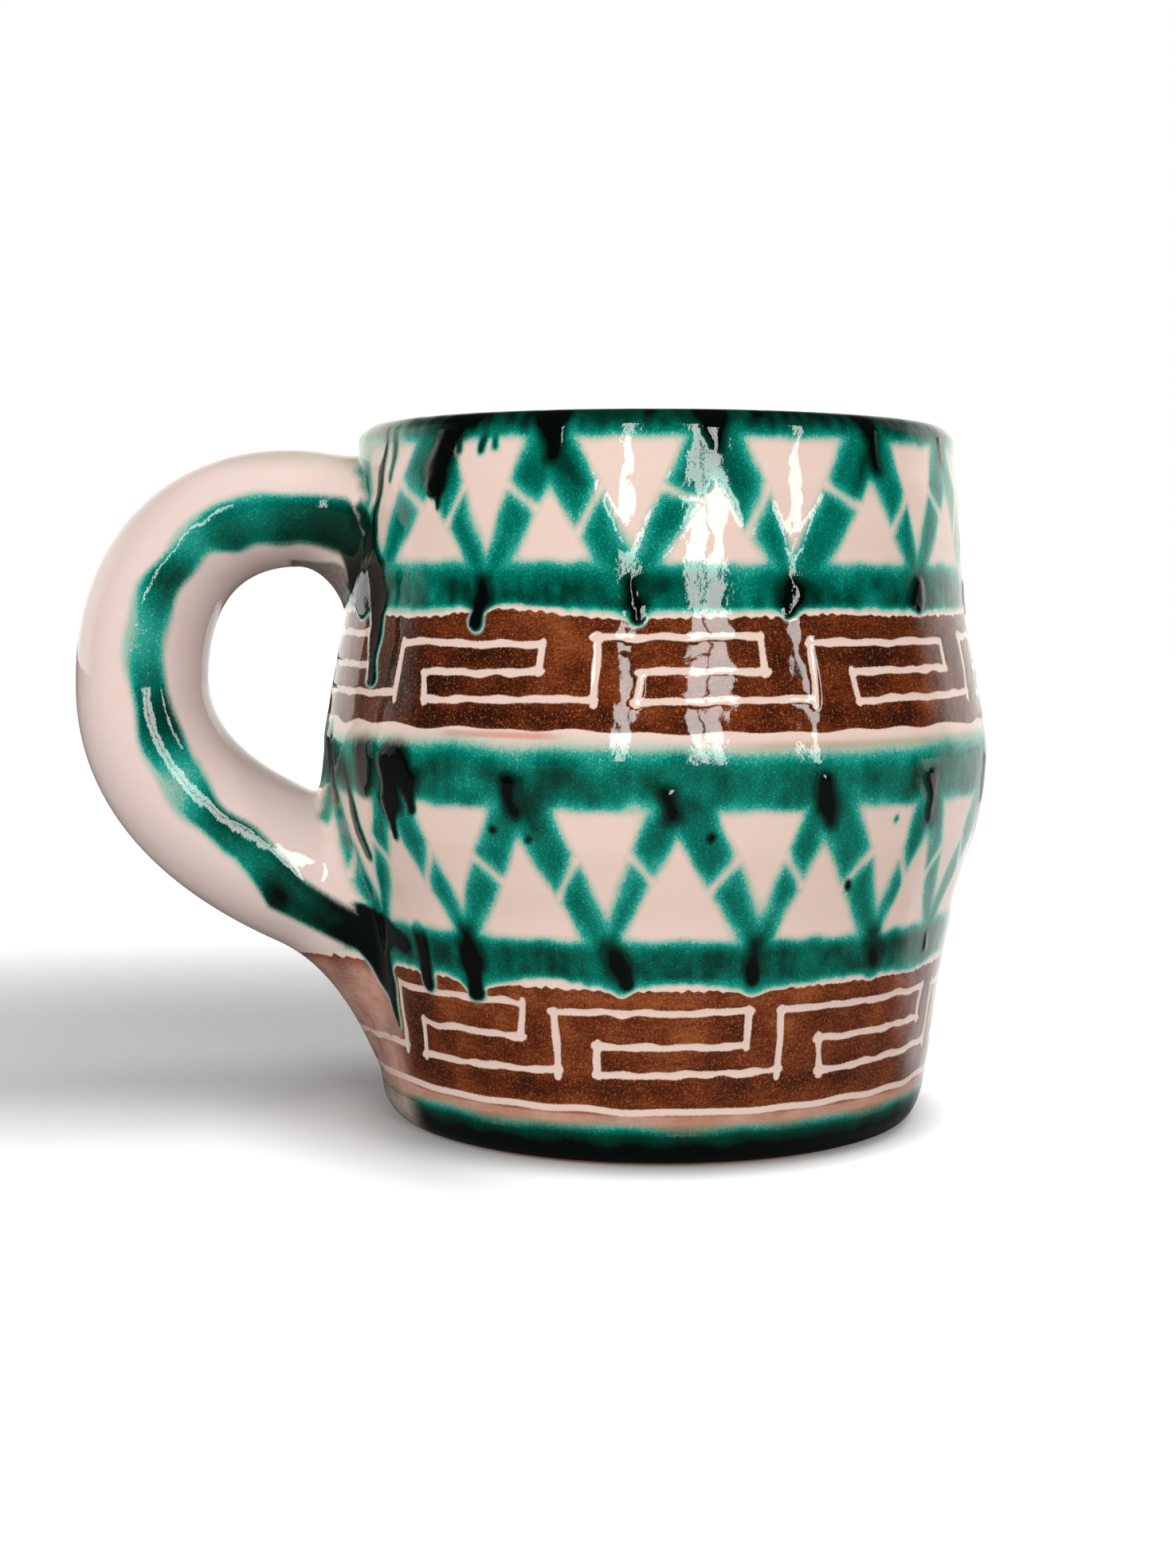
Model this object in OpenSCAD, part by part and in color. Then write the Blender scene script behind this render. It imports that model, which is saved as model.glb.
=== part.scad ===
/* [Vessel] */
// Height from the table to the top of the lip
mug_h = 90; // [84:1:104]
// Outer diameter at the belly
belly_d = 87; // [84:1:96]
// Height of the belly, where the wall is widest
belly_h = 48; // [46:1:52]
// Outer diameter where the wall meets the foot corner
foot_d = 69.2; // [64:0.2:72]
// Outer diameter just under the lip
rim_d = 77.4; // [74:0.2:80]
// Radius of the rounded corner at the foot
foot_round = 1.6; // [1.2:0.1:2.4]

/* [Inside] */
// Wall thickness at the lip, with its coats
rim_t = 4.2; // [3.4:0.1:5]
// Wall thickness at the floor, with its coats
base_t = 6.4; // [5:0.1:7.5]
// Height of the floor inside, above the table
floor_h = 8.4; // [7.6:0.1:10]
// Radius of the thumbed corner between floor and wall
floor_round = 11; // [8:0.5:14]
// Width of the turned ring that the mug stands on
foot_ring_w = 5.4; // [4:0.2:7]
// Depth of the turned hollow inside the foot ring
foot_recess_h = 2.6; // [1.6:0.1:3]
// Width of the sloping side of that hollow
foot_recess_slope_w = 1.8; // [1:0.1:2.6]

/* [Coats] */
// Thickness of the pale slip over the clay
ground_t = 0.3; // [0.2:0.05:0.45]
// Thickness of the coloured coats over the pale slip
band_t = 0.2; // [0.15:0.05:0.3]
// Thickness of the glaze inside
liner_t = 0.4; // [0.25:0.05:0.5]
// Height of the bare clay edge under the coats at the foot
bare_h = 0.6; // [0.4:0.1:1]
// Width of the scratched lines that part the bands
line_w = 0.6; // [0.4:0.1:1]
// Depth of the green rim band below the top of the lip
rim_band_w = 3.2; // [2.8:0.1:4]

/* [Bands, as shares of the mug's height] */
// Height of the green band at the foot, up to its line
foot_band_share = 0.082; // [0.07:0.001:0.09]
// Width of the lower brown band
lower_key_share = 0.158; // [0.145:0.001:0.165]
// Width of the green belt above the lower brown band
lower_belt_share = 0.058; // [0.045:0.001:0.065]
// Width of the lower zigzag band
lower_zigzag_share = 0.168; // [0.155:0.001:0.18]
// Width of the upper brown band
upper_key_share = 0.142; // [0.13:0.001:0.155]
// Width of the green belt above the upper brown band
upper_belt_share = 0.065; // [0.055:0.001:0.08]
// Width of the upper zigzag band
upper_zigzag_share = 0.158; // [0.145:0.001:0.165]

/* [Handle] */
// Distance from the mug's axis to the handle's far side
handle_reach = 75.3; // [72:0.5:82]
// Height of the handle's far side, as a share of the way from lower to upper joint
handle_apex_share = 0.562; // [0.5:0.002:0.62]
// Drop from the lip to the middle of the upper joint
upper_joint_drop = 11.5; // [11:0.1:14]
// Height of the middle of the lower joint
lower_joint_h = 29.4; // [27:0.2:32]
// Rise of the handle as it leaves the upper joint, in degrees
upper_joint_angle = 14; // [8:1:20]
// Rise of the handle as it leaves the lower joint, in degrees
lower_joint_angle = 35; // [30:1:40]
// Thickness of the handle near the upper joint
handle_top_t = 15; // [13:0.2:16]
// Thickness of the handle at its far side
handle_apex_t = 16.8; // [15:0.2:18]
// Thickness of the handle near the lower joint
handle_bottom_t = 20.4; // [18:0.2:21]
// Width of the handle near the upper joint
handle_top_w = 21; // [18:0.5:23]
// Width of the handle at its far side
handle_apex_w = 20; // [18:0.5:23]
// Width of the handle near the lower joint
handle_bottom_w = 22; // [19:0.5:24]

/* [Joints] */
// Spread of the upper joint's clay to each side
upper_side_spread = 3.4; // [2.4:0.2:4]
// Spread of the upper joint's clay under the handle
upper_under_spread = 6.2; // [4:0.2:7]
// Spread of the upper joint's clay above the handle
upper_over_spread = 0.6; // [0.4:0.1:1.2]
// Spread of the lower joint's clay to each side
lower_side_spread = 4.2; // [3:0.2:5]
// Spread of the lower joint's clay above the handle
lower_over_spread = 7; // [5:0.2:8]
// Length of the tail drawn down the wall under the lower joint
lower_tail_spread = 12.5; // [9:0.5:14]
// Distance from the wall at which the upper joint starts to swell
upper_blend_l = 7.3; // [6.5:0.1:9]
// Distance from the wall at which the lower joint starts to swell
lower_blend_l = 7; // [6:0.1:8]

/* [Smoothness] */
// Height of one step of the turned outline
outline_step = 1.5; // [1:0.1:3]
// Sides of the handle's section
section_sides = 36; // [24:4:48]
// Steps along each half of the handle's free length
path_steps = 14; // [10:1:20]

/* [Hidden] */

$fn = 96;
// Overrun of a cut past the surface that it opens
cut_over = 1;
// Length of the small step that finds a direction along the wall
probe = 0.05;
// Clearance between the flat facets of a joint's seat and the round wall
seat_gap = 0.05;
// Steps in a quarter round of the outline
round_steps = 8;
// Steps that find a place on the handle by its distance from the axis
place_steps = 24;
// Steps of a joint's blend, of its seat on the wall, of its core and of the handle's cap
blend_steps = 7;
seat_steps = 3;
core_steps = 3;
cap_steps = 3;

belly_r = belly_d / 2;
foot_r = foot_d / 2;
rim_r = rim_d / 2;
coat_t = ground_t + band_t;
seat_inset = coat_t - seat_gap;
lip_round = rim_t / 2;
lip_h = mug_h - lip_round;
floor_corner_h = floor_h + floor_round;
// Share of the way up from foot to belly, and of the way out
lower_flank_shares = [[0, 0], [0.12, 0.18], [0.38, 0.37], [0.62, 0.58], [0.83, 0.9], [1, 1]];
// Share of the way up from belly to lip, and of the way in
upper_flank_shares = [[0, 0], [0.23, 0.27], [0.5, 0.68], [0.8, 0.8], [1, 1]];
lower_start_share = 1.6;
upper_end_share = 0.5;

// Smooth curve through a list of points, with its slope given at both ends
function knot_slope(p, i, first, last) =
    i == 0 ? first
    : i == len(p) - 1 ? last
    : (p[i + 1][1] - p[i - 1][1]) / (p[i + 1][0] - p[i - 1][0]);
function span_of(p, u, i = 0) = i >= len(p) - 2 || u < p[i + 1][0] ? i : span_of(p, u, i + 1);
function blend(a, b, slope_a, slope_b, t) =
    (2 * t ^ 3 - 3 * t ^ 2 + 1) * a + (t ^ 3 - 2 * t ^ 2 + t) * slope_a
    + (3 * t ^ 2 - 2 * t ^ 3) * b + (t ^ 3 - t ^ 2) * slope_b;
function curve(p, u, first, last) =
    let(i = span_of(p, u), w = p[i + 1][0] - p[i][0], t = (u - p[i][0]) / w)
    blend(p[i][1], p[i + 1][1], w * knot_slope(p, i, first, last),
          w * knot_slope(p, i + 1, first, last), t);
function ease(t) = t * t * (3 - 2 * t);

// Finished outer radius at a height, with the foot's corner taken off
function flank_r(z) =
    z < belly_h
        ? foot_r + (belly_r - foot_r) * curve(lower_flank_shares, z / belly_h, lower_start_share, 0)
        : belly_r - (belly_r - rim_r)
            * curve(upper_flank_shares, min(1, (z - belly_h) / (lip_h - belly_h)), 0, upper_end_share);
function corner_cut(z, r) = z >= r ? 0 : r - sqrt(max(0, r ^ 2 - (r - z) ^ 2));
function outer_r(z) = flank_r(z) - corner_cut(z, foot_round);
// Finished inner radius, from the wall's thickness and the thumbed floor corner
function wall_t(z) = rim_t + (base_t - rim_t) * (1 - z / lip_h);
function inner_r(z) = flank_r(z) - wall_t(z) - corner_cut(z - floor_h, floor_round);

// Heights of the outline's points: close together round the foot, even above
foot_heights = [for (i = [0 : round_steps - 1]) foot_round * (1 - cos(90 * i / round_steps))];
flank_steps = ceil((lip_h - foot_round) / outline_step);
flank_heights = [for (i = [0 : flank_steps]) foot_round + (lip_h - foot_round) * i / flank_steps];
wall_table = [for (z = concat(foot_heights, flank_heights)) [z, outer_r(z)]];
// Radius of the finished wall as it is made, between the outline's points
function wall_r(z) = lookup(z, wall_table);

// Points up the outside from one height to another, set in by the coats that lie over them
function flank_points(inset, low, high) = concat(
    [[wall_r(low) - inset, low]],
    [for (p = wall_table) if (p[0] > low + probe && p[0] < high - probe) [p[1] - inset, p[0]]],
    [[wall_r(high) - inset, high]]);
// Half of the lip, from its outside to its top
function lip_points(inset) = [
    for (i = [0 : round_steps])
    [rim_r - lip_round + (lip_round - inset) * cos(90 * i / round_steps),
     lip_h + (lip_round - inset) * sin(90 * i / round_steps)]];
// The inside, from the top of the lip down to the middle of the floor
function bore_points(inset, lip_inset) = concat(
    [for (i = [0 : round_steps])
        [rim_r - lip_round - (lip_round - inset) * sin(90 * i / round_steps),
         lip_h + (lip_round - lip_inset) * cos(90 * i / round_steps)]],
    [for (i = [flank_steps - 1 : -1 : 0])
        if (flank_heights[i] > floor_corner_h) [inner_r(flank_heights[i]) + inset, flank_heights[i]]],
    [for (i = [0 : round_steps])
        let(z = floor_h + floor_round * (1 - sin(90 * i / round_steps)))
        [inner_r(z) + inset * cos(90 * i / round_steps), z - inset * sin(90 * i / round_steps)]],
    [[0, floor_h - inset]]);

// Bands of the outside, stacked up from the foot and down from the lip
foot_band_high = foot_band_share * mug_h;
lower_key_low = foot_band_high + line_w;
lower_key_high = lower_key_low + lower_key_share * mug_h;
lower_belt_low = lower_key_high + line_w;
lower_zigzag_low = lower_belt_low + lower_belt_share * mug_h;
middle_belt_low = lower_zigzag_low + lower_zigzag_share * mug_h;
rim_band_low = mug_h - rim_band_w;
upper_zigzag_low = rim_band_low - upper_zigzag_share * mug_h;
upper_belt_low = upper_zigzag_low - upper_belt_share * mug_h;
upper_key_high = upper_belt_low - line_w;
upper_key_low = upper_key_high - upper_key_share * mug_h;

// Centre line of the handle: two drawn curves that meet at its far side
wall_at_upper = wall_r(mug_h - upper_joint_drop) - coat_t;
wall_at_lower = wall_r(lower_joint_h) - coat_t;
upper_root = [wall_at_upper, mug_h - upper_joint_drop];
lower_root = [wall_at_lower, lower_joint_h];
apex = [
    handle_reach - handle_apex_t / 2,
    lower_root[1] + handle_apex_share * (upper_root[1] - lower_root[1])];
upper_pull_shares = [0.6, 0.8];
lower_pull_shares = [0.72, 0.1];
upper_curve = [
    upper_root,
    upper_root + upper_pull_shares[0] * (apex[0] - upper_root[0]) * [cos(upper_joint_angle), sin(upper_joint_angle)],
    apex + [0, upper_pull_shares[1] * (upper_root[1] - apex[1])],
    apex];
lower_curve = [
    apex,
    apex - [0, lower_pull_shares[0] * (apex[1] - lower_root[1])],
    lower_root + lower_pull_shares[1] * (apex[0] - lower_root[0]) * [cos(lower_joint_angle), sin(lower_joint_angle)],
    lower_root];
function bezier(p, t) =
    (1 - t) ^ 3 * p[0] + 3 * (1 - t) ^ 2 * t * p[1] + 3 * (1 - t) * t ^ 2 * p[2] + t ^ 3 * p[3];
function bezier_way(p, t) =
    (1 - t) ^ 2 * (p[1] - p[0]) + 2 * (1 - t) * t * (p[2] - p[1]) + t ^ 2 * (p[3] - p[2]);
function unit(v) = v / norm(v);
// A place on the handle runs from 0 at the upper joint through 1 at the far side to 2
function centre_at(s) = s < 1 ? bezier(upper_curve, s) : bezier(lower_curve, s - 1);
function way_at(s) = unit(s < 1 ? bezier_way(upper_curve, s) : bezier_way(lower_curve, s - 1));
function size_at(s, top, mid, bottom) =
    s < 1 ? top + (mid - top) * ease(s) : mid + (bottom - mid) * sin(90 * (s - 1));
function ring_point(s, a, out) =
    let(c = centre_at(s), w = way_at(s),
        t = size_at(s, handle_top_t, handle_apex_t, handle_bottom_t) / 2 - coat_t + out,
        b = size_at(s, handle_top_w, handle_apex_w, handle_bottom_w) / 2 - coat_t + out)
    [-(c[0] - t * cos(a) * w[1]), b * sin(a), c[1] + t * cos(a) * w[0]];

// The free length of the handle ends where the blends into the wall begin
upper_reach_table = [for (i = [0 : place_steps]) [centre_at(i / place_steps)[0], i / place_steps]];
lower_reach_table = [for (i = [place_steps : -1 : 0]) [centre_at(1 + i / place_steps)[0], 1 + i / place_steps]];
upper_place = lookup(upper_root[0] + upper_blend_l, upper_reach_table);
lower_place = lookup(lower_root[0] + lower_blend_l, lower_reach_table);
// Pull of a blend along the wall, in spreads of its joint
blend_end_pull = 2;
// Share of its run by which a blend still falls as it meets the wall
edge_fall_share = 0.18;
side_angles = [for (j = [0 : section_sides - 1]) 360 * j / section_sides];
// Each side of the handle is free as long as it is this clear of the wall
blend_clear = 3;
function off_wall(p) = norm([p[0], p[1]]) - wall_r(p[2]) + coat_t;
function first_place(a) =
    max(upper_place, lookup(blend_clear, [
        for (i = [0 : place_steps])
        [off_wall(ring_point(i / place_steps, a, 0)), i / place_steps]]));
function last_place(a) =
    min(lower_place, lookup(-blend_clear, [
        for (i = [0 : place_steps])
        [-off_wall(ring_point(1 + i / place_steps, a, 0)), 1 + i / place_steps]]));
side_places = [for (a = side_angles) [first_place(a), last_place(a)]];
// Ring of points round the handle's free length, counted from -path_steps to path_steps
function free_ring(i, out) = [
    for (j = [0 : section_sides - 1])
    let(s = 1 + (i < 0 ? side_places[j][0] - 1 : side_places[j][1] - 1) * abs(i) / path_steps)
    ring_point(s, side_angles[j], out)];

// A joint is [height, up or down, half height, half width, outer, side and inner spread]
upper_half_h = handle_top_t / 2 / cos(upper_joint_angle) - coat_t;
lower_half_h = handle_bottom_t / 2 / cos(lower_joint_angle) - coat_t;
upper_room = lip_h - upper_root[1] - upper_half_h - coat_t;
lower_room = lower_root[1] - lower_half_h - foot_round - bare_h;
upper_joint = [
    upper_root[1], 1, upper_half_h, handle_top_w / 2 - coat_t,
    min(upper_over_spread, upper_room), upper_side_spread, upper_under_spread];
lower_joint = [
    lower_root[1], -1, lower_half_h, handle_bottom_w / 2 - coat_t,
    min(lower_tail_spread, lower_room), lower_side_spread, lower_over_spread];
function spread(joint, a) =
    sin(a) ^ 2 * joint[5] + cos(a) ^ 2 * (cos(a) > 0 ? joint[4] : joint[6]);
// Outline of a joint, seen straight on to the wall, grown by a distance
function joint_yz(joint, a, grow) =
    [(joint[3] + grow) * sin(a), joint[0] + joint[1] * (joint[2] + grow) * cos(a)];
function on_wall(yz, inset) = [-sqrt((wall_r(yz[1]) - inset) ^ 2 - yz[0] ^ 2), yz[0], yz[1]];
function core_end(joint, a) = on_wall(joint_yz(joint, a, 0), seat_inset);
function blend_edge(joint, a, inset) = on_wall(joint_yz(joint, a, spread(joint, a)), inset);
// The blend leaves the handle along its pull and meets the wall along the wall
function blend_point(joint, j, out, t) =
    let(s = joint[1] > 0 ? side_places[j][0] : side_places[j][1], a = side_angles[j],
        b = ring_point(s, a, out), w = way_at(s), inset = seat_inset * (1 - out / coat_t),
        c = blend_edge(joint, a, inset),
        further = on_wall(joint_yz(joint, a, spread(joint, a) + probe), inset),
        reach = norm(c - b))
    blend(
        b, c, -joint[1] * reach * [-w[0], 0, w[1]],
        min(reach, blend_end_pull * spread(joint, a)) * (unit(further - c) + [edge_fall_share, 0, 0]), t);

function blend_ring(joint, out, k) =
    [for (j = [0 : section_sides - 1]) blend_point(joint, j, out, k / blend_steps)];

// Rings of points that skin one surface of the handle with both its blends
function skin_rings(out) = concat(
    [for (k = [blend_steps : -1 : 1]) blend_ring(upper_joint, out, k)],
    [for (i = [-path_steps : path_steps]) free_ring(i, out)],
    [for (k = [1 : blend_steps]) blend_ring(lower_joint, out, k)]);
// Rings that cap an end of the handle against the curved wall
function seat_ring(joint, share) = [
    for (a = side_angles)
    let(p = joint_yz(joint, a, 0))
    on_wall([share * p[0], joint[0] + share * (p[1] - joint[0])], seat_inset)];
function core_ring(joint, k) =
    let(free = free_ring(-joint[1] * path_steps, 0))
    [for (j = [0 : section_sides - 1])
        free[j] + (core_end(joint, side_angles[j]) - free[j]) * k / core_steps];

// Triangles between each ring and the next, and from a ring to one point
function quad(a, b, c, d) = [[a, c, b], [a, d, c]];
function tube_faces(rings, n, closed = false) = [
    for (i = [0 : rings - (closed ? 1 : 2)])
    for (j = [0 : n - 1])
    for (f = quad(
        i * n + j, i * n + (j + 1) % n,
        ((i + 1) % rings) * n + (j + 1) % n, ((i + 1) % rings) * n + j))
    f];
function flat_list(rings) = [for (r = rings) for (p = r) p];

module loft_ring(rings) {
    polyhedron(flat_list(rings), tube_faces(len(rings), section_sides, true), convexity = 6);
}

module lathe(points) {
    rotate_extrude() polygon(points);
}

// The hole that a joint's clay fills in the coats
module joint_window(joint) {
    rotate([0, -90, 0])
        linear_extrude(max(belly_r, rim_r, foot_r) + cut_over)
            polygon([
                for (a = side_angles)
                let(p = joint_yz(joint, a, spread(joint, a)))
                [p[1], p[0]]]);
}

module coat_ring(low, high, inset, depth) {
    difference() {
        lathe(concat(
            flank_points(inset, low, high),
            [for (i = [1 : len(flank_points(inset, low, high))])
                let(p = flank_points(inset + depth, low, high))
                p[len(p) - i]]));
        joint_window(upper_joint);
        joint_window(lower_joint);
    }
}

module band(low, high) {
    coat_ring(low, high, 0, band_t);
}

// Thrown wall and floor of red clay, turned hollow underneath
module vessel() {
    ring_r = wall_r(0) - coat_t - foot_ring_w;
    color("sienna")
        lathe(concat(
            flank_points(coat_t, 0, lip_h),
            lip_points(coat_t),
            bore_points(liner_t, coat_t),
            [[0, foot_recess_h],
             [ring_r - foot_recess_slope_w, foot_recess_h],
             [ring_r, 0]]));
}

// Pulled handle, coped to the wall at both ends
module handle() {
    rings = concat(
        [for (k = [1 : cap_steps]) seat_ring(upper_joint, k / cap_steps)],
        [for (k = [core_steps - 1 : -1 : 1]) core_ring(upper_joint, k)],
        [for (i = [-path_steps : path_steps]) free_ring(i, 0)],
        [for (k = [1 : core_steps - 1]) core_ring(lower_joint, k)],
        [for (k = [cap_steps : -1 : 1]) seat_ring(lower_joint, k / cap_steps)]);
    n = section_sides;
    last = (len(rings) - 1) * n;
    middle = len(rings) * n;
    color("sienna")
        polyhedron(
            concat(
                flat_list(rings),
                [on_wall([0, upper_joint[0]], seat_inset), on_wall([0, lower_joint[0]], seat_inset)]),
            concat(
                tube_faces(len(rings), n),
                [for (j = [0 : n - 1]) [middle, j, (j + 1) % n]],
                [for (j = [0 : n - 1]) [middle + 1, last + (j + 1) % n, last + j]]),
            convexity = 6);
}

// Coil of soft clay thumbed into the corner between handle and wall
module joint_coil(joint) {
    rings = concat(
        [for (k = [0 : blend_steps]) blend_ring(joint, 0, k)],
        [for (k = [seat_steps - 1 : -1 : 0])
            [for (a = side_angles)
                on_wall(joint_yz(joint, a, spread(joint, a) * k / seat_steps), seat_inset)]],
        [for (k = [core_steps - 1 : -1 : 1]) core_ring(joint, k)]);
    color("sienna")
        loft_ring(joint[1] > 0 ? [for (i = [len(rings) - 1 : -1 : 0]) rings[i]] : rings);
}

module upper_joint_coil() {
    joint_coil(upper_joint);
}

module lower_joint_coil() {
    joint_coil(lower_joint);
}

// Pale slip over the whole outside of the wall, up to the top of the lip
module ground_slip() {
    color("mistyrose") {
        coat_ring(bare_h, lip_h, band_t, ground_t);
        lathe(concat(
            lip_points(band_t),
            [for (i = [1 : round_steps + 1]) lip_points(coat_t)[round_steps + 1 - i]]));
    }
}

module foot_band() {
    color("darkgreen") band(bare_h, foot_band_high);
}

module lower_key_band() {
    color("saddlebrown") band(lower_key_low, lower_key_high);
}

module lower_belt() {
    color("teal") band(lower_belt_low, lower_zigzag_low);
}

module lower_zigzag_band() {
    color("darkseagreen") band(lower_zigzag_low, middle_belt_low);
}

module middle_belt() {
    color("teal") band(middle_belt_low, upper_key_low - line_w);
}

module upper_key_band() {
    color("saddlebrown") band(upper_key_low, upper_key_high);
}

module upper_belt() {
    color("teal") band(upper_belt_low, upper_zigzag_low);
}

module upper_zigzag_band() {
    color("darkseagreen") band(upper_zigzag_low, rim_band_low);
}

// Green glaze round the rim, up over the lip to its top
module rim_band() {
    color("darkgreen") {
        coat_ring(rim_band_low, lip_h, 0, band_t);
        lathe(concat(
            lip_points(0),
            [for (i = [1 : round_steps + 1]) lip_points(band_t)[round_steps + 1 - i]]));
    }
}

// Pale slip over the handle and its joints
module handle_slip() {
    outside = skin_rings(coat_t);
    inside = skin_rings(0);
    color("mistyrose")
        loft_ring(concat(outside, [for (i = [len(inside) - 1 : -1 : 0]) inside[i]]));
}

// Glaze over the floor and the inside of the wall, up to the top of the lip
module liner_glaze() {
    finished = bore_points(0, 0);
    clay = bore_points(liner_t, coat_t);
    color("linen")
        lathe(concat(finished, [for (i = [len(clay) - 1 : -1 : 0]) clay[i]]));
}

vessel();
handle();
upper_joint_coil();
lower_joint_coil();
ground_slip();
foot_band();
lower_key_band();
lower_belt();
lower_zigzag_band();
middle_belt();
upper_key_band();
upper_belt();
upper_zigzag_band();
rim_band();
handle_slip();
liner_glaze();
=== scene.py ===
"""Looks of the glazed clay mug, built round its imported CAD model. Run as a script in Blender."""

import math

import bpy
import numpy as np
from mathutils import Matrix, Vector


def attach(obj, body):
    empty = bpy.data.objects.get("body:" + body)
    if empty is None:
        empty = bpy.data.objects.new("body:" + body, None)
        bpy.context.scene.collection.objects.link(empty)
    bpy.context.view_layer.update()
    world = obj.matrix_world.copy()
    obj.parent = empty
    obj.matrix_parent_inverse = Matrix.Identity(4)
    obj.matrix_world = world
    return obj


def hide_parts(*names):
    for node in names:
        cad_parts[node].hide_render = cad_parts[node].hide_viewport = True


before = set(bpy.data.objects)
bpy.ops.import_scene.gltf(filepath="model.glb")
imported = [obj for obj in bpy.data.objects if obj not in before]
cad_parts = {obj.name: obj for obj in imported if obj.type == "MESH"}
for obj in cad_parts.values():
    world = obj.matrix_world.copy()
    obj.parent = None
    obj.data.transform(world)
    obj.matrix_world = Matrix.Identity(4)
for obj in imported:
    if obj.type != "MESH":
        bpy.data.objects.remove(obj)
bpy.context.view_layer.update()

bl_info = {
    "name": "Glazed clay mug",
    "version": (1, 0),
    "blender": (4, 5, 0),
    "location": "View3D > Sidebar > Mug",
    "description": "Builds the glazed skin, handle and lining of a hand-thrown mug",
    "category": "Add Mesh",
}

MM = 0.001


def linear(red, green, blue):
    """A colour as the eye sees it, 0 to 255, in Blender's own linear numbers."""
    return tuple(
        c / 12.92 if c <= 0.04045 else ((c + 0.055) / 1.055) ** 2.4
        for c in (red / 255, green / 255, blue / 255)
    )


def colour(name, description, shade):
    return bpy.props.FloatVectorProperty(
        name=name, description=description, subtype="COLOR", size=3, min=0, max=1, default=shade
    )


def amount(name, description, default):
    return bpy.props.FloatProperty(name=name, description=description, default=default, min=0)


def steps(name, description, default, least):
    return bpy.props.IntProperty(name=name, description=description, default=default, min=least)


# Shape of the mug, in millimetres, as the CAD model has it
FOOT_R = 34.6
BELLY_R = 43.5
BELLY_H = 48.0
RIM_R = 38.7
LIP_ROUND = 2.1
LIP_H = 87.9
FOOT_ROUND = 1.6
BARE_H = 0.6
WALL_T = (4.2, 6.4)
FLOOR_H = 8.4
FLOOR_ROUND = 11.0
COAT_T = 0.5
BAND_T = 0.2
LINER_T = 0.4
LOWER_FLANK = ((0, 0), (0.12, 0.18), (0.38, 0.37), (0.62, 0.58), (0.83, 0.9), (1, 1))
UPPER_FLANK = ((0, 0), (0.23, 0.27), (0.5, 0.68), (0.8, 0.8), (1, 1))
LOWER_FLANK_SLOPES = (1.6, 0)
UPPER_FLANK_SLOPES = (0, 0.5)
FRONT = 8.0  # turn, in degrees, from the -Y side to the front that the pattern is laid out from
HANDLE_TURN = FRONT - 90  # the handle's place in the pattern
OUT_OF_SIGHT = (66, 250)  # from where to where the photograph doesn't show the pattern

# Bands of the wall, from foot to lip: node, material slot, height where the band ends
BANDS = (
    ("foot_band", "green_glaze", 7.68),
    ("lower_key_band", "brown_slip", 22.5),
    ("lower_belt", "green_glaze", 28.02),
    ("lower_zigzag_band", "zigzag_glaze", 43.14),
    ("middle_belt", "green_glaze", 52.87),
    ("upper_key_band", "brown_slip", 66.25),
    ("upper_belt", "green_glaze", 72.58),
    ("upper_zigzag_band", "zigzag_glaze", 86.8),
    ("rim_band", "green_glaze", 90.0),
)


class MugShape(bpy.types.PropertyGroup):
    """How finely the surfaces are made, and the potter's marks on them"""

    columns: steps("Columns", "Steps round the wall", 768, 96)
    row_step: amount("Row step", "Height of one row of the wall, mm", 0.36)
    throwing: amount("Throwing rings", "Depth of the rings that throwing leaves, mm", 0.03)
    unevenness: amount("Unevenness", "How far the hand-thrown wall strays, mm", 0.07)
    green_build: amount("Green build-up", "Extra thickness of the green glaze, mm", 0.07)
    drip_build: amount("Drip build-up", "Extra thickness where glaze pools, mm", 0.16)
    scratch_depth: amount("Scratch depth", "Depth of the scratched line, mm", 0.07)
    handle_sides: steps("Handle sides", "Steps round the handle's section", 208, 24)


class MugPaint(bpy.types.PropertyGroup):
    """Colours of the clay and the glazes, and the sizes of the painted pattern"""

    white: colour("White", "Pale glaze over the slip", linear(228, 203, 192))
    handle_white: colour("Handle white", "Pale glaze on the handle", linear(226, 205, 200))
    green_thin: colour("Thin green", "Green where it is thin", linear(34, 158, 142))
    green: colour("Green", "Green at its usual thickness", linear(0, 110, 94))
    green_thick: colour("Thick green", "Green where it gathers", linear(0, 60, 47))
    green_pool: colour("Pooled green", "Green in drips and pools", linear(1, 7, 5))
    brown: colour("Brown", "Brown slip under the glaze", linear(98, 42, 18))
    brown_thin: colour("Thin brown", "Brown where the brush left little", linear(150, 82, 44))
    brown_thick: colour("Thick brown", "Brown where the brush left most", linear(44, 18, 9))
    clay: colour("Clay", "Bare fired clay", linear(178, 112, 78))
    lining: colour("Lining", "Glaze inside the mug", linear(229, 210, 198))
    scratch_w: amount("Line width", "Width of the scratched line, mm", 0.86)
    halo_w: amount("Halo", "Bare gap between green and brown, mm", 0.42)


FLOOR_GREY = (0.42, 0.42, 0.42)
MIRRORED_GREY = (0.12, 0.12, 0.12)  # the floor as a gloss mirrors it


class MugStudio(bpy.types.PropertyGroup):
    """Light and floor of the studio"""

    floor: colour("Floor", "Colour of the floor", FLOOR_GREY)
    room_light: amount("Room light", "Even light from all round", 0.27)
    window_light: amount("Windows", "Brightness of the tall windows", 12.8)


# Shape of the wall


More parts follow.
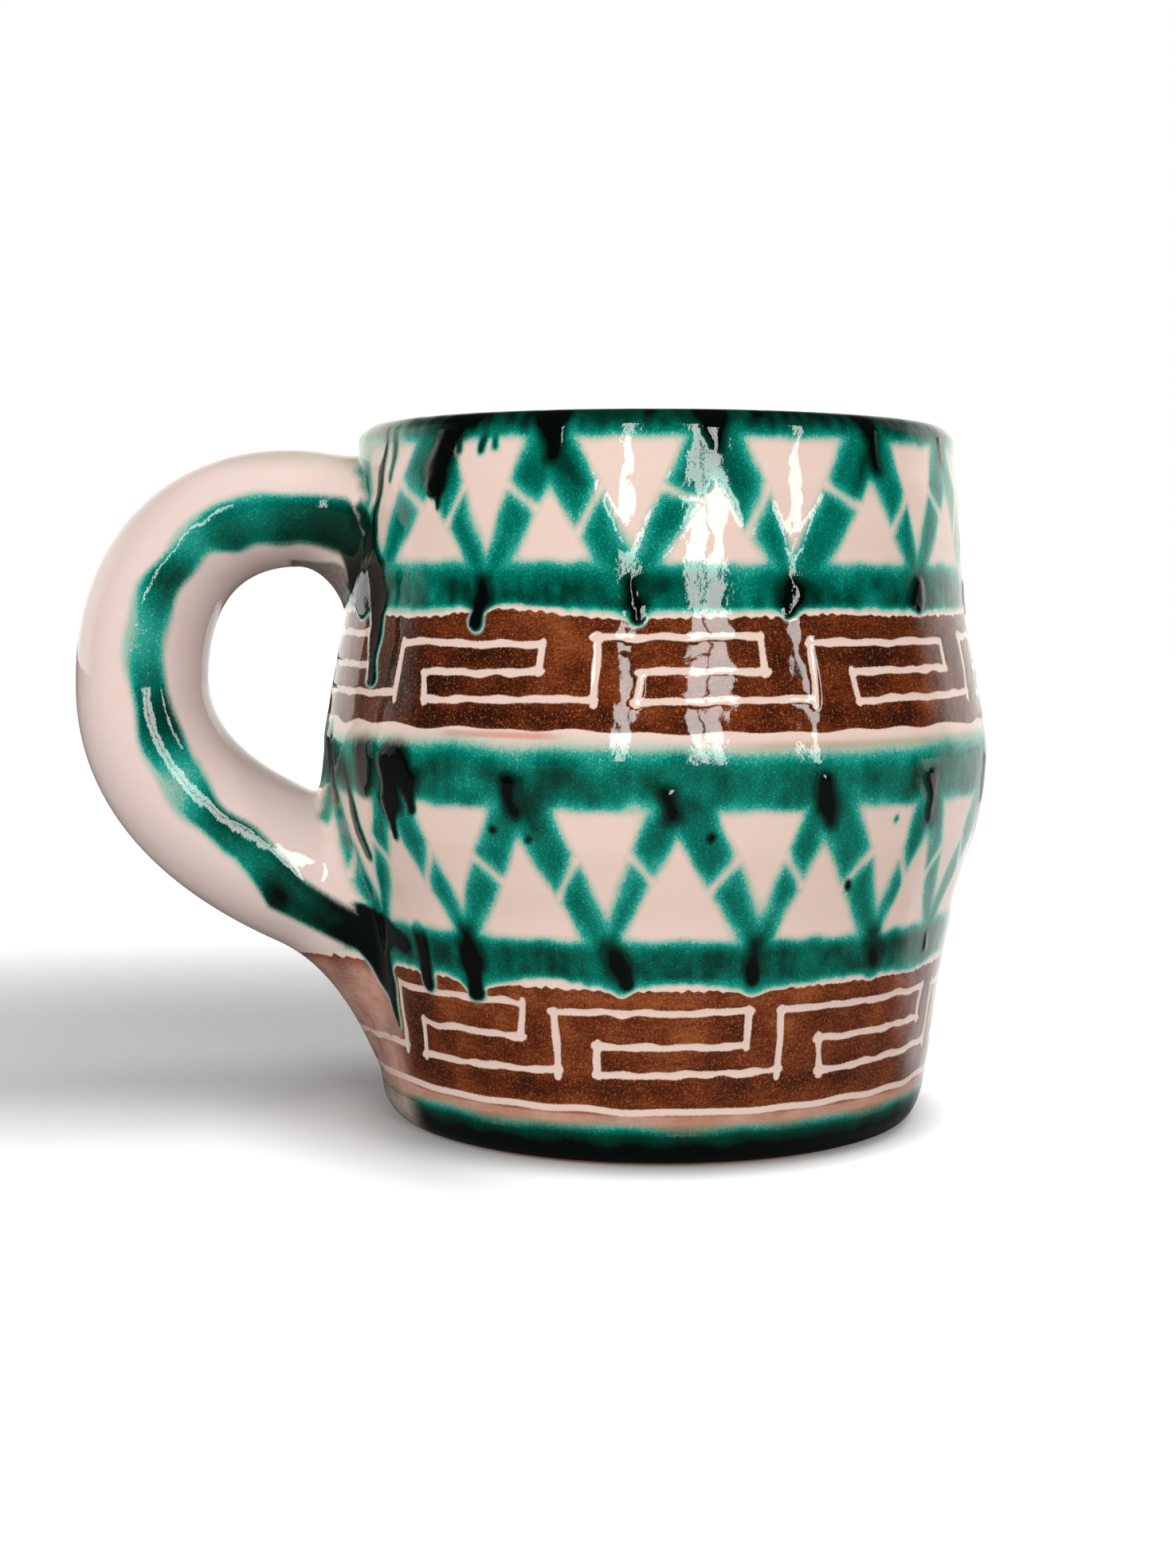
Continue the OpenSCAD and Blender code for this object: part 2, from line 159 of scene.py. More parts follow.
def through(knots, u, first, last):
    """Smooth curve through a list of points, with its slope given at both ends."""
    xs, ys = np.array(knots, float).T
    slopes = np.concatenate([[first], (ys[2:] - ys[:-2]) / (xs[2:] - xs[:-2]), [last]])
    i = np.clip(np.searchsorted(xs, u, side="right") - 1, 0, len(xs) - 2)
    w = xs[i + 1] - xs[i]
    t = (u - xs[i]) / w
    return hermite(ys[i], ys[i + 1], w * slopes[i], w * slopes[i + 1], t)


def hermite(a, b, way_a, way_b, t):
    return (
        (2 * t**3 - 3 * t**2 + 1) * a
        + (t**3 - 2 * t**2 + t) * way_a
        + (3 * t**2 - 2 * t**3) * b
        + (t**3 - t**2) * way_b
    )


def corner_cut(z, r):
    return np.where(z >= r, 0, r - np.sqrt(np.maximum(0, r**2 - (r - z) ** 2)))


def flank_r(z):
    u = np.clip(z / BELLY_H, 0, 1)
    low = FOOT_R + (BELLY_R - FOOT_R) * through(LOWER_FLANK, u, *LOWER_FLANK_SLOPES)
    u = np.clip((z - BELLY_H) / (LIP_H - BELLY_H), 0, 1)
    high = BELLY_R - (BELLY_R - RIM_R) * through(UPPER_FLANK, u, *UPPER_FLANK_SLOPES)
    return np.where(z < BELLY_H, low, high)


def wall_r(z):
    """Finished outer radius at a height."""
    z = np.asarray(z, float)
    return flank_r(z) - corner_cut(z, FOOT_ROUND)


def inner_r(z):
    """Finished inner radius at a height above the floor."""
    z = np.asarray(z, float)
    wall = WALL_T[0] + (WALL_T[1] - WALL_T[0]) * (1 - z / LIP_H)
    return flank_r(z) - wall - corner_cut(z - FLOOR_H, FLOOR_ROUND)


def smooth(low, high, value):
    t = np.clip((value - low) / (high - low), 0, 1)
    return t * t * (3 - 2 * t)


def hill(value, place, width):
    """1 at a place, and softly down to nought on both sides of it."""
    return np.exp(-(((value - place) / width) ** 2))


def unit(ways):
    return ways / np.linalg.norm(ways, axis=-1, keepdims=True)


def turned(radius, z, turn):
    """Points at a radius, a height and a turn from the -Y side."""
    return np.stack([radius * np.sin(turn), -radius * np.cos(turn), z], -1)


def off_wall(spots):
    """How far points stand off the plain wall."""
    return np.hypot(spots[..., 0], spots[..., 1]) - wall_r(np.clip(spots[..., 2], 0, LIP_H))


def angles_round(columns):
    return np.linspace(-180, 180, columns, endpoint=False)[None, :]


def wander(angle, seed, size, slowest, fastest):
    """An unsteady line that strays round the mug and meets itself."""
    draw = np.random.default_rng(seed)
    rates = np.arange(slowest, fastest + 1)
    share = draw.normal(size=len(rates)) / math.sqrt(len(rates))
    start = draw.uniform(0, 2 * math.pi, len(rates))
    turn = np.radians(angle)
    total = np.zeros_like(turn)
    for rate, part, phase in zip(rates, share, start):
        total += part * np.cos(rate * turn + phase)
    return size * math.sqrt(2) * total


def sway(angle, z, seed, size, rates, heights):
    """Soft unevenness over the wall, which meets itself round the mug."""
    draw = np.random.default_rng(seed)
    turn = np.radians(angle)
    total = np.zeros(np.broadcast(angle, z).shape)
    count = 14
    for _ in range(count):
        rate = draw.integers(rates[0], rates[1] + 1)
        climb = draw.uniform(-1, 1) * 2 * math.pi / heights
        total += np.cos(rate * turn + climb * z + draw.uniform(0, 2 * math.pi))
    return size * total / math.sqrt(count / 2)


# Painted pattern, worked out in millimetres along the wall


def aside(angle, place, radius):
    """Distance along the wall from a place, given as an angle, to each point."""
    return np.radians((angle - place + 180) % 360 - 180) * radius


def to_stroke(angle, z, radius, start, end):
    """Distance to a straight stroke, and the share of its run at the nearest point."""
    x = aside(angle, start[0], radius)
    run = math.radians((end[0] - start[0] + 180) % 360 - 180) * radius
    rise = end[1] - start[1]
    share = np.clip((x * run + (z - start[1]) * rise) / (run**2 + rise**2 + 1e-9), 0, 1)
    return np.hypot(x - share * run, z - start[1] - share * rise), share


def in_triangle(angle, z, radius, corners):
    """How far each point lies inside a triangle, with its corners softened."""
    middle = sum(c[0] for c in corners) / 3
    x = aside(angle, middle, radius)
    spots = [(math.radians(c[0] - middle) * radius, c[1]) for c in corners]
    soft = 0.3
    total = 0
    for (ax, az), (bx, bz) in zip(spots, spots[1:] + spots[:1]):
        size = np.hypot(bx - ax, bz - az)
        out = ((bz - az) * (x - ax) - (bx - ax) * (z - az)) / size
        total = total + np.exp(np.clip(out / soft, -60, 60))
    return -soft * np.log(total)


def in_drip(angle, z, radius, drip):
    """How far each point lies inside a drip: angle, height and radius at both ends."""
    top_a, top_z, top_r, low_a, low_z, low_r = drip[:6]
    gap, share = to_stroke(angle, z, radius, (top_a, top_z), (low_a, low_z))
    return top_r + (low_r - top_r) * share - gap


def spread_out(seen, count):
    """The angles that are given, and the rest of the count evenly round the back."""
    first, last = seen[0], seen[-1]
    rest = count - len(seen)
    step = (first + 360 - last) / (rest + 1)
    draw = np.random.default_rng(count)
    return list(seen) + [last + step * (i + 1) + draw.uniform(-1, 1) for i in range(rest)]


def tips_between(apexes, seen):
    """The tips that are given, and the rest midway between their apexes."""
    following = apexes[1:] + [apexes[0] + 360]
    middles = [(a + b) / 2 for a, b in zip(apexes, following)]
    return list(seen) + middles[len(seen):]


class Zigzag:
    """A row of pale triangles, by turns up and down, that the green leaves free"""

    def __init__(self, low, high, apexes, tips, up_w, down_w, up_h, down_h, links, seed):
        draw = np.random.default_rng(seed)
        self.low, self.high = low, high
        self.apexes, self.tips = apexes, tips
        height = high - low
        before = [tips[-1] - 360] + tips[:-1]
        following = apexes[1:] + [apexes[0] + 360]
        self.ups = []
        self.downs = []
        self.gaps = []
        for apex, tip, last_tip, next_apex in zip(apexes, tips, before, following):
            shake = draw.uniform(0.88, 1.12, 4)
            left = apex - (apex - last_tip) * up_w * shake[0]
            right = apex + (tip - apex) * up_w * shake[1]
            top = low + height * (up_h + draw.uniform(-0.05, 0.05))
            base = low + draw.uniform(-0.25, 0.25)
            self.ups.append(((left, base), (right, base), (apex, top)))
            left = tip - (tip - apex) * down_w * shake[2]
            right = tip + (next_apex - tip) * down_w * shake[3]
            point = low + height * (down_h + draw.uniform(-0.04, 0.04))
            self.downs.append(((right, high), (left, high), (tip, point)))
        for i, up in enumerate(self.ups):
            for side, down in ((1, self.downs[i]), (0, self.downs[i - 1])):
                low_share, high_share = links[side] + draw.uniform(-0.05, 0.05, 2)
                start = self.on_side(up[side], up[2], low + low_share * height)
                end = self.on_side(down[2], down[side], low + high_share * height)
                self.gaps.append((start, end))

    @staticmethod
    def on_side(a, b, z):
        share = min(1, max(0, (z - a[1]) / (b[1] - a[1])))
        return a[0] + share * (b[0] - a[0]), z

    def pale(self, angle, z, radius):
        """How far each point lies inside what the green leaves free."""
        inside = np.full(z.shape, -9.0)
        near = (z > self.low - 3) & (z < self.high + 3)
        a, h, r = angle[near], z[near], radius[near]
        a = a + sway(a, h, 71, 0.16, (20, 60), 6)
        h = h + sway(a, h, 72, 0.08, (20, 60), 6)
        best = np.full(h.shape, -9.0)
        for corners in self.ups + self.downs:
            best = np.maximum(best, in_triangle(a, h, r, corners))
        for start, end in self.gaps:
            gap, share = to_stroke(a, h, r, start, end)
            flare = np.abs(2 * share - 1) ** 3
            best = np.maximum(best, 0.14 + 0.5 * flare - gap)
        inside[near] = best
        return inside


UPPER_APEXES = spread_out([-42.1, -17.8, 10.1, 40.1, 64.5], 13)
LOWER_APEXES = spread_out([-47.1, -21.2, 3.8, 27.7, 50.5], 15)
UPPER_ZIGZAG = Zigzag(
    72.6, 86.5, UPPER_APEXES, tips_between(UPPER_APEXES, [-29.7, -3.5, 23.6, 52.8]),
    0.58, 0.6, 0.62, 0.07, ((0.45, 0.63), (0.25, 0.57)), 5,
)
LOWER_ZIGZAG = Zigzag(
    28.4, 43.6, LOWER_APEXES, tips_between(LOWER_APEXES, [-34.3, -7.5, 18.1, 42.1, 60.2]),
    0.72, 0.58, 0.78, 0.2, ((0.44, 0.65), (0.35, 0.63)), 8,
)

# Where glaze gathers with a soft edge: angle, height and radius at the top, the same at the
# bottom, and how dark
POOLS = [
    (-35.5, 90.0, 1.1, -41.0, 83.5, 1.6, 1.0),
    (-18.6, 90.0, 0.6, -17.4, 84.8, 0.4, 1.0),
    (-17.0, 85.0, 0.6, -13.0, 81.5, 0.1, 0.4),
    (9.6, 90.0, 0.7, 9.8, 85.6, 0.2, 1.0),
    (10.4, 84.6, 0.6, 14.5, 81.0, 0.1, 0.35),
    (39.4, 90.0, 0.5, 42.0, 83.6, 0.2, 0.95),
    (40.0, 84.6, 0.6, 36.0, 80.6, 0.1, 0.4),
    (64.4, 90.0, 0.3, 65.2, 85.4, 0.1, 0.75),
    (-57.5, 88.0, 0.8, -58.5, 82.0, 0.8, 0.6),
    (-29.7, 70.0, 0.2, -30.2, 66.4, 0.8, 0.9),
    (-3.5, 70.0, 0.2, -3.3, 67.2, 0.7, 0.8),
    (23.4, 70.0, 0.2, 22.8, 67.6, 0.7, 0.8),
    (52.8, 70.0, 0.2, 52.2, 67.8, 0.6, 0.75),
    (-23.0, 46.8, 0.3, -21.9, 43.6, 0.35, 0.95),
    (-20.5, 45.0, 0.1, -18.5, 41.5, 0.0, 0.35),
    (2.2, 45.6, 0.3, 2.8, 43.2, 0.2, 0.85),
    (27.0, 47.0, 0.3, 28.4, 42.6, 0.4, 1.0),
    (50.0, 46.4, 0.2, 50.9, 41.8, 0.2, 0.9),
    (-41.0, 46.6, 0.3, -41.6, 45.2, 0.3, 0.85),
    (-45.5, 49.0, 2.2, -46.5, 44.0, 1.2, 0.9),
    (-54.0, 49.6, 2.0, -54.0, 44.0, 1.0, 0.85),
    (-34.3, 28.0, 0.4, -33.4, 24.5, 1.0, 0.85),
    (-7.0, 27.6, 0.3, -5.2, 24.6, 0.8, 0.75),
    (18.1, 27.8, 0.3, 17.9, 24.8, 0.6, 0.7),
    (42.1, 28.0, 0.3, 43.0, 25.2, 0.5, 0.65),
]

# Drips with a sharp edge, in the same way
DRIPS = [
    # from the rim
    (-38.5, 87.5, 0.9, -41.2, 81.4, 1.5, 1.0),
    (-40.6, 82.0, 0.8, -40.2, 78.8, 0.2, 1.0),
    (-36.3, 88.0, 0.5, -36.6, 85.4, 0.25, 0.7),
    (-31.0, 88.0, 0.6, -31.2, 85.4, 0.4, 0.75),
    (-28.4, 88.0, 0.4, -28.4, 85.8, 0.3, 0.6),
    (-57.5, 88.5, 0.5, -60.5, 73.5, 0.8, 0.92),
    (-53.8, 88.5, 0.6, -54.6, 82.5, 0.3, 0.75),
    # under the tips of the upper zigzag
    (-29.6, 69.0, 0.2, -30.6, 65.2, 0.95, 1.0),
    (-3.6, 69.4, 0.1, -3.1, 65.9, 0.75, 1.0),
    (23.2, 69.6, 0.15, 22.6, 66.6, 0.7, 1.0),
    (52.3, 69.6, 0.1, 53.0, 66.9, 0.55, 1.0),
    # where the handle's stripe runs down the wall from the upper joint
    (-67.0, 78.5, 2.2, -59.5, 71.0, 2.4, 0.8),
    (-59.0, 71.5, 2.4, -56.8, 66.5, 1.9, 1.0),
    (-57.0, 68.5, 1.9, -55.2, 58.2, 0.9, 1.0),
    (-72.0, 72.0, 2.6, -63.0, 68.0, 2.6, 0.85),
    # above the apexes of the lower zigzag
    (-47.4, 49.0, 1.3, -46.8, 39.6, 0.65, 1.0),
    (-42.8, 48.6, 1.0, -41.6, 43.0, 0.7, 1.0),
    (-52.5, 49.0, 0.9, -52.8, 45.5, 0.4, 0.9),
    (-61.5, 47.5, 0.6, -57.8, 36.5, 1.0, 0.85),
    (-71.5, 51.0, 1.6, -68.0, 43.0, 1.0, 1.0),
    # under the tips of the lower zigzag
    (-34.6, 27.0, 0.8, -33.0, 21.0, 1.15, 1.0),
    (-46.4, 27.4, 1.2, -45.2, 21.0, 1.0, 1.0),
    (-6.0, 26.2, 0.2, -4.6, 23.2, 0.85, 1.0),
    (18.0, 26.4, 0.2, 17.8, 23.5, 0.75, 1.0),
    (42.6, 26.8, 0.2, 43.3, 24.4, 0.6, 0.95),
    (60.3, 26.6, 0.2, 60.8, 24.7, 0.5, 0.95),
    # where the handle's stripe runs down the wall from the lower joint
    (-64.0, 27.0, 2.4, -59.0, 26.0, 2.2, 0.95),
    (-62.5, 25.5, 3.0, -58.2, 14.2, 0.25, 1.0),
    (-58.0, 26.8, 1.6, -52.0, 25.4, 1.2, 0.95),
    # spatters
    (-25.8, 41.2, 0.32, -25.8, 41.2, 0.32, 1.0),
    (-19.9, 40.2, 0.3, -19.9, 40.2, 0.3, 0.95),
    (9.2, 40.9, 0.3, 9.2, 40.6, 0.3, 1.0),
    (34.3, 34.6, 0.42, 34.3, 34.2, 0.42, 1.0),
    (41.9, 42.1, 0.3, 41.9, 42.1, 0.3, 0.5),
]


# Where the lower edge of a green belt sags round its drips: angle and how far
UPPER_SAGS = ((-56.5, 1.4), (-30.0, 1.0), (-3.2, 0.8), (22.9, 0.8), (52.7, 0.5))
LOWER_SAGS = ((-59.0, 1.6), (-45.6, 1.4), (-33.8, 1.5), (-5.2, 0.8), (17.9, 0.7), (43.0, 0.6))


def sagging(angle, radius, places):
    """How far the lower edge of a belt sags at each angle."""
    low = np.zeros(angle.shape)
    for place, deep in places:
        low = np.maximum(low, deep * hill(aside(angle, place, radius), 0, 1.5))
    return low


def gathered(zigzag, seed, above, under):
    """Where strokes meet round the back, glaze gathers: above each apex and under each tip."""
    draw = np.random.default_rng(seed)
    first, last = OUT_OF_SIGHT
    made = []
    for places, (top_z, top_r, low_z, low_r) in ((zigzag.apexes, above), (zigzag.tips, under)):
        for place in places:
            if first < place % 360 < last and top_r + low_r:
                shake = draw.uniform((-1.5, -1, 0.75, 0.8), (1.5, 0.8, 1.2, 1))
                made.append((place, top_z, top_r, place + shake[0],
                             low_z + shake[1], low_r * shake[2], shake[3]))
    return made


def mirrored(runs):
    """The far side of the handle has runs of glaze like those on the near side."""
    return [
        (2 * HANDLE_TURN - a, z, r * 0.9, 2 * HANDLE_TURN - b + 2, y - 0.6, q, dark)
        for a, z, r, b, y, q, dark in runs
        if a < -46
    ]


POOLS += mirrored(POOLS)
POOLS += gathered(UPPER_ZIGZAG, 21, (90.0, 1.2, 84.6, 0.9), (70.0, 0.2, 67.0, 0.8))
POOLS += gathered(LOWER_ZIGZAG, 22, (47.4, 0.8, 43.4, 0.5), (28.5, 0.4, 25.0, 1.1))
DRIPS += mirrored(DRIPS)
DRIPS += gathered(UPPER_ZIGZAG, 23, (0, 0, 0, 0), (69.4, 0.15, 66.4, 0.75))
DRIPS += gathered(LOWER_ZIGZAG, 24, (0, 0, 0, 0), (26.4, 0.2, 23.6, 0.8))


# Brown that went on thicker (below nought) or thinner: angle, height, half width, half height
DARK_PATCHES = (
    (-28, 61.6, 6, 1.4, -0.3), (-36, 58.0, 8, 1.4, -0.35), (-27, 54.2, 12, 1.4, -0.3),
    (-48, 60.0, 5, 6.0, -0.35), (-12, 62.0, 6, 3.0, 0.2), (10, 57.0, 6, 3.0, 0.12),
    (40, 61.6, 9, 1.2, -0.25), (21.5, 59.5, 3.5, 3.0, -0.2), (36, 54.4, 9, 1.2, -0.22),
    (-38, 20.5, 8, 1.2, 0.2), (-10, 20.8, 10, 1.0, 0.2), (20, 21.0, 12, 1.0, 0.16),
    (-50, 14.0, 2.5, 6.0, -0.35), (-20, 10.0, 16, 1.6, -0.22), (30, 10.5, 14, 1.8, -0.18),
    (5, 16.0, 6, 1.6, 0.1), (95, 60.0, 9, 3.0, -0.2), (150, 58.0, 12, 3.0, 0.14),
    (210, 61.0, 9, 2.5, -0.24), (110, 15.0, 12, 2.5, 0.14), (170, 12.0, 12, 2.5, -0.22),
    (230, 17.0, 8, 2.5, -0.16),
)


MM_PER_DEGREE = 0.7  # along the wall, near enough to end each stroke a little past its corner


class KeyLine:
    """One scratched line that runs round the mug in square turns"""

    def __init__(self, low, high, risers, reach, seed):
        draw = np.random.default_rng(seed)
        self.low, self.high = low, high
        turns = ((0, 0), (0, 1), (reach, 1), (reach, 0.5), (0.19, 0.48), (0.19, 0), (1, 0.06))
        spots = []
        for riser, following in zip(risers, risers[1:] + [risers[0] + 360]):
            lift = draw.uniform(-0.5, 0.5)
            for u, v in turns:
                shift = draw.uniform(-0.8, 0.8, 2) * (1, 0.3) * (0 < u < 1)
                spots.append((riser + u * (following - riser) + shift[0],
                              low + v * (high - low) + lift * v + shift[1]))
        self.strokes = []
        for start, end in zip(spots, spots[1:] + spots[:1]):
            turn = (end[0] - start[0] + 180) % 360 - 180
            rise = end[1] - start[1]
            past = draw.uniform(0, 0.5, 2) / math.hypot(turn * MM_PER_DEGREE, rise)
            self.strokes.append((
                (start[0] - past[0] * turn, start[1] - past[0] * rise),
                (start[0] + (1 + past[1]) * turn, start[1] + (1 + past[1]) * rise),
            ))

    def gap(self, angle, z, radius):
        """Distance from each point to the line."""
        gap = np.full(z.shape, 9.0)
        near = (z > self.low - 3) & (z < self.high + 3)
        a, h, r = angle[near], z[near], radius[near]
        a = a + sway(a, h, 31, 0.12, (4, 30), 8)
        h = h + sway(a, h, 32, 0.07, (8, 60), 9)
        best = np.full(h.shape, 9.0)
        for start, end in self.strokes:
            best = np.minimum(best, to_stroke(a, h, r, start, end)[0])
        gap[near] = best + sway(a, h, 33, 0.05, (10, 90), 4)
        return gap


UPPER_KEY = KeyLine(56.2, 63.2, spread_out([-47.1, -9.2, 26.3, 67.7], 9), 0.77, 3)
LOWER_KEY = KeyLine(11.6, 19.5, spread_out([-56.0, -17.5, 23.8, 69.0], 9), 0.84, 4)


# Heights where the painted bands begin or end
UPPER_GREEN_LOW = 66.65
MIDDLE_GREEN_TOP = 51.2
LOWER_GREEN_LOW = 22.6
FOOT_GREEN_TOP = 5.5
UPPER_BROWN = (52.9, 66.15)
LOWER_BROWN_TOP = 22.2
LOW_LINE = 7.35

# Painted sheen near the mug's edges, where the glaze would mirror the pale room: how much, above
# nought for a grey-olive sheen that also lightens the green, and below it for pink, which is partly
# painted sheen and partly thinner brown and green; two edges as angles and one as heights, each
# from where it starts to where it is full
SHEEN_ZONES = (
    (1.0, (-48, -56), (-84, -74), (82.5, 86.5)),
    (0.7, (60, 74), (96, 84), (67.5, 76)),
    (0.5, (64, 76), (94, 84), (40, 34)),
    (-1.0, (-50, -66), (-107, -102), (23.5, 19)),
)


def green_belts(angle, z, radius, slow, fine):
    """How far each point lies inside the green: the top third, the middle and the foot."""
    over_waist = UPPER_GREEN_LOW + slow + 0.5 * fine - sagging(angle, radius, UPPER_SAGS)
    upper = 1.8 * (z - over_waist)
    under_waist = MIDDLE_GREEN_TOP + wander(angle, 13, 0.2, 3, 20)
    over_key = LOWER_GREEN_LOW + wander(angle, 14, 0.25, 3, 16) + 0.4 * fine
    over_key = over_key - sagging(angle, radius, LOWER_SAGS)
    middle = np.minimum((under_waist - z) * 0.5, 1.8 * (z - over_key))
    foot = 0.6 * (FOOT_GREEN_TOP + wander(angle, 15, 0.2, 2, 20) - z)
    pale = np.maximum(UPPER_ZIGZAG.pale(angle, z, radius), LOWER_ZIGZAG.pale(angle, z, radius))
    green = np.maximum(np.maximum(np.minimum(upper, 3), np.minimum(middle, 3)), foot)
    return np.minimum(green, -pale)


# Where the green stands deeper: how much, how much more in streaks and in broad patches, and two
# edges as heights, coming down and coming up, each from where it starts to where it is full
ALL_THE_WAY_UP = (92, 91)
ALL_THE_WAY_DOWN = (-2, -1)
GATHERS = (
    (0.115, 0.04, 0.04, (71.6, 69.2), (66.5, 67.6)),
    (-0.2, 0, 0, (67.4, 66.4), (60, 60.01)),
    (0.12, 0.03, 0.02, (28.5, 26.5), (22.9, 24.2)),
    (0.04, 0.03, 0.05, (51.4, 47.5), (42.5, 44.5)),
    (0.06, 0, 0, (51.8, 50.2), (45.5, 48.5)),
    (0.2, 0.06, 0, ALL_THE_WAY_UP, (86.2, 88.6)),
    (0.16, 0, 0, ALL_THE_WAY_UP, (88.0, 89.4)),
    (0.4, 0, 0, (6.0, 4.0), ALL_THE_WAY_DOWN),
    (0.16, 0, 0, (4.5, 1.5), ALL_THE_WAY_DOWN),
)


def belt_depth(angle, z, green, broad):
    """How deep the green is: it gathers low in each belt, at the rim and in each stroke."""
    streak = wander(angle, 16, 0.6, 40, 160) + sway(angle, z, 74, 0.7, (30, 110), 3)
    depth = 0.16 + 0.27 * smooth(-0.3, 2.1, green) + 0.03 * broad
    for much, in_streaks, in_patches, coming_down, coming_up in GATHERS:
        more = much + in_streaks * streak + in_patches * broad
        depth += more * smooth(*coming_down, z) * smooth(*coming_up, z)
    return depth


def pool_and_drip(angle, z, radius, depth):
    """How deep the green is with its pools, which have a soft edge, and its drips, which have a
    sharp one, and how far each point lies inside a drip."""
    shaken = angle + sway(angle, z, 76, 0.25, (8, 60), 5)
    pooled = np.zeros(z.shape)
    for pool in POOLS:
        inside = in_drip(shaken, z, radius, pool)
        pooled = np.maximum(pooled, pool[6] * smooth(-2.0, 1.0, inside))
    depth = depth + 0.68 * pooled
    runs = np.full(z.shape, -9.0)
    for drip in DRIPS:
        inside = in_drip(shaken, z, radius, drip)
        top = drip[1] + drip[2]
        core = smooth(-0.5, 0.35, inside)
        if drip[1] - drip[4] > 2:
            core = core * smooth(top, top - 2.6, z)
        depth = np.maximum(depth, depth + (drip[6] - depth) * core)
        runs = np.maximum(runs, inside)
    return depth, runs


def brown_load(angle, z, radius, broad):
    """How much lighter or darker the brush left the brown."""
    load = 0.06 * broad + 0.55 * smooth(7.4, 6.4, z) - 0.1 * (z > 40)
    for place, height, wide, high, dark in DARK_PATCHES:
        load += dark * hill(aside(angle, place, radius), 0, wide) * hill(z, height, high)
    return load


def paint_wall(angle, z, halo_w, reach=9.0):
    """What the brush left at each point: how far inside green and brown, how deep the green
    is, and how far the scratched line is. Angles in degrees from the front, heights in mm.
    The bands go as far as reach says; drips run on past it."""
    radius = wall_r(np.clip(z, 0, LIP_H))
    fine = wander(angle, 11, 0.16, 30, 150)
    slow = wander(angle, 12, 0.22, 3, 14)
    broad = wander(angle, 17, 0.6, 5, 30) + sway(angle, z, 75, 0.7, (6, 40), 5)
    belts = green_belts(angle, z, radius, slow, fine)
    # Painted sheen near the edges: above nought a grey-olive sheen that lightens the green, below
    # nought pink, partly painted sheen and partly thinner paint
    worn = sum(
        much * smooth(*one_side, angle) * smooth(*other_side, angle) * smooth(*heights, z)
        for much, one_side, other_side, heights in SHEEN_ZONES
    )
    depth = belt_depth(angle, z, belts, broad) - 0.3 * np.maximum(worn, 0)
    depth, runs = pool_and_drip(angle, z, radius, depth)
    # Below nought here is no sheen but the paint's own pink line all round, between the foot's
    # green and the low scratched line
    worn = worn - 0.8 * smooth(7.2, 6.6, z) * smooth(5.0, 6.0, z)
    worn = worn * smooth(0.5, -0.5, runs)
    belts = np.minimum(belts, reach)
    runs = np.minimum(runs, reach)

    # Brown stops short of the green, so a pale line is left between them
    rough = wander(angle, 18, 0.1, 40, 220)
    low, high = UPPER_BROWN
    upper_brown = np.minimum(high + slow + rough - z, z - low - wander(angle, 19, 0.2, 3, 40))
    line_h = LOW_LINE + wander(angle, 20, 0.12, 2, 30)
    lower_brown = np.minimum(LOWER_BROWN_TOP - z + rough, z - line_h - 0.4)
    brown = np.minimum(np.maximum(upper_brown, lower_brown), -belts - halo_w)
    brown = np.maximum(brown, np.minimum(line_h - 0.4 - z, z - 4.5))
    brown = np.minimum(np.minimum(brown, reach), -1.4 * runs - 0.45)
    scratch = np.minimum(UPPER_KEY.gap(angle, z, radius), LOWER_KEY.gap(angle, z, radius))
    under_tail = (np.abs(angle - HANDLE_TURN) < 25.2) & (z > 13) & (z < 24)
    return {
        "green": np.clip(np.maximum(belts, 1.6 * runs + 0.5), -3, 3),
        "depth": np.clip(depth, 0, 1),
        "brown": np.clip(brown, -3, 3),
        "scratch": np.clip(np.where(under_tail, 3, scratch), 0, 3),
        "blush": hill(z, 52.3, 0.35) * smooth(-37, -33, angle) * smooth(-12, -18, angle),
        "tan": hill(z, 51.2, 0.55) * smooth(8, 20, angle) * smooth(100, 80, angle),
        "load": brown_load(angle, z, radius, broad),
        "worn": worn,
    }


# Meshes


def add_solid(name, spots, faces, normals, places, paint):
    """A mesh in metres from points in mm, with its normals, its flat map and its paint."""
    mesh = bpy.data.meshes.new(name)
    mesh.from_pydata((spots * MM).tolist(), [], [list(f) for f in faces])
    mesh.polygons.foreach_set("use_smooth", [True] * len(mesh.polygons))
    flat = mesh.uv_layers.new(name="OFBake")
    flat.uv.foreach_set("vector", np.asarray(places, np.float32).ravel())
    for title, values in paint.items():
        layer = mesh.attributes.new(title, "FLOAT", "POINT")
        layer.data.foreach_set("value", np.asarray(values, np.float32).ravel())
    mesh.normals_split_custom_set_from_vertices(normals.tolist())
    return put_in_scene(name, mesh)


def put_in_scene(name, data):
    thing = bpy.data.objects.new(name, data)
    bpy.context.scene.collection.objects.link(thing)
    return thing


def stacked(*parts):
    """Grids of points, ways or map corners as one list, one grid after another."""
    return np.concatenate([part.reshape(-1, part.shape[-1]) for part in parts])


def grid_faces(rows, columns, first=0):
    """Quads between each ring of points and the next."""
    row = np.arange(rows - 1)[:, None]
    column = np.arange(columns)[None, :]
    following = (column + 1) % columns
    a = row * columns + column
    b = row * columns + following
    c = (row + 1) * columns + following
    d = (row + 1) * columns + column
    return first + np.stack([a, b, c, d], -1).reshape(-1, 4)


def join_rings(first, second, columns):
    """Quads from one ring of points to another."""
    column = np.arange(columns)
    following = (column + 1) % columns
    return np.stack([first + column, first + following, second + following, second + column], -1)


def shell_faces(rows, columns):
    """Quads of a grid whose last ring joins its first, so that it closes."""
    return np.concatenate([
        grid_faces(rows, columns), join_rings((rows - 1) * columns, 0, columns)
    ])


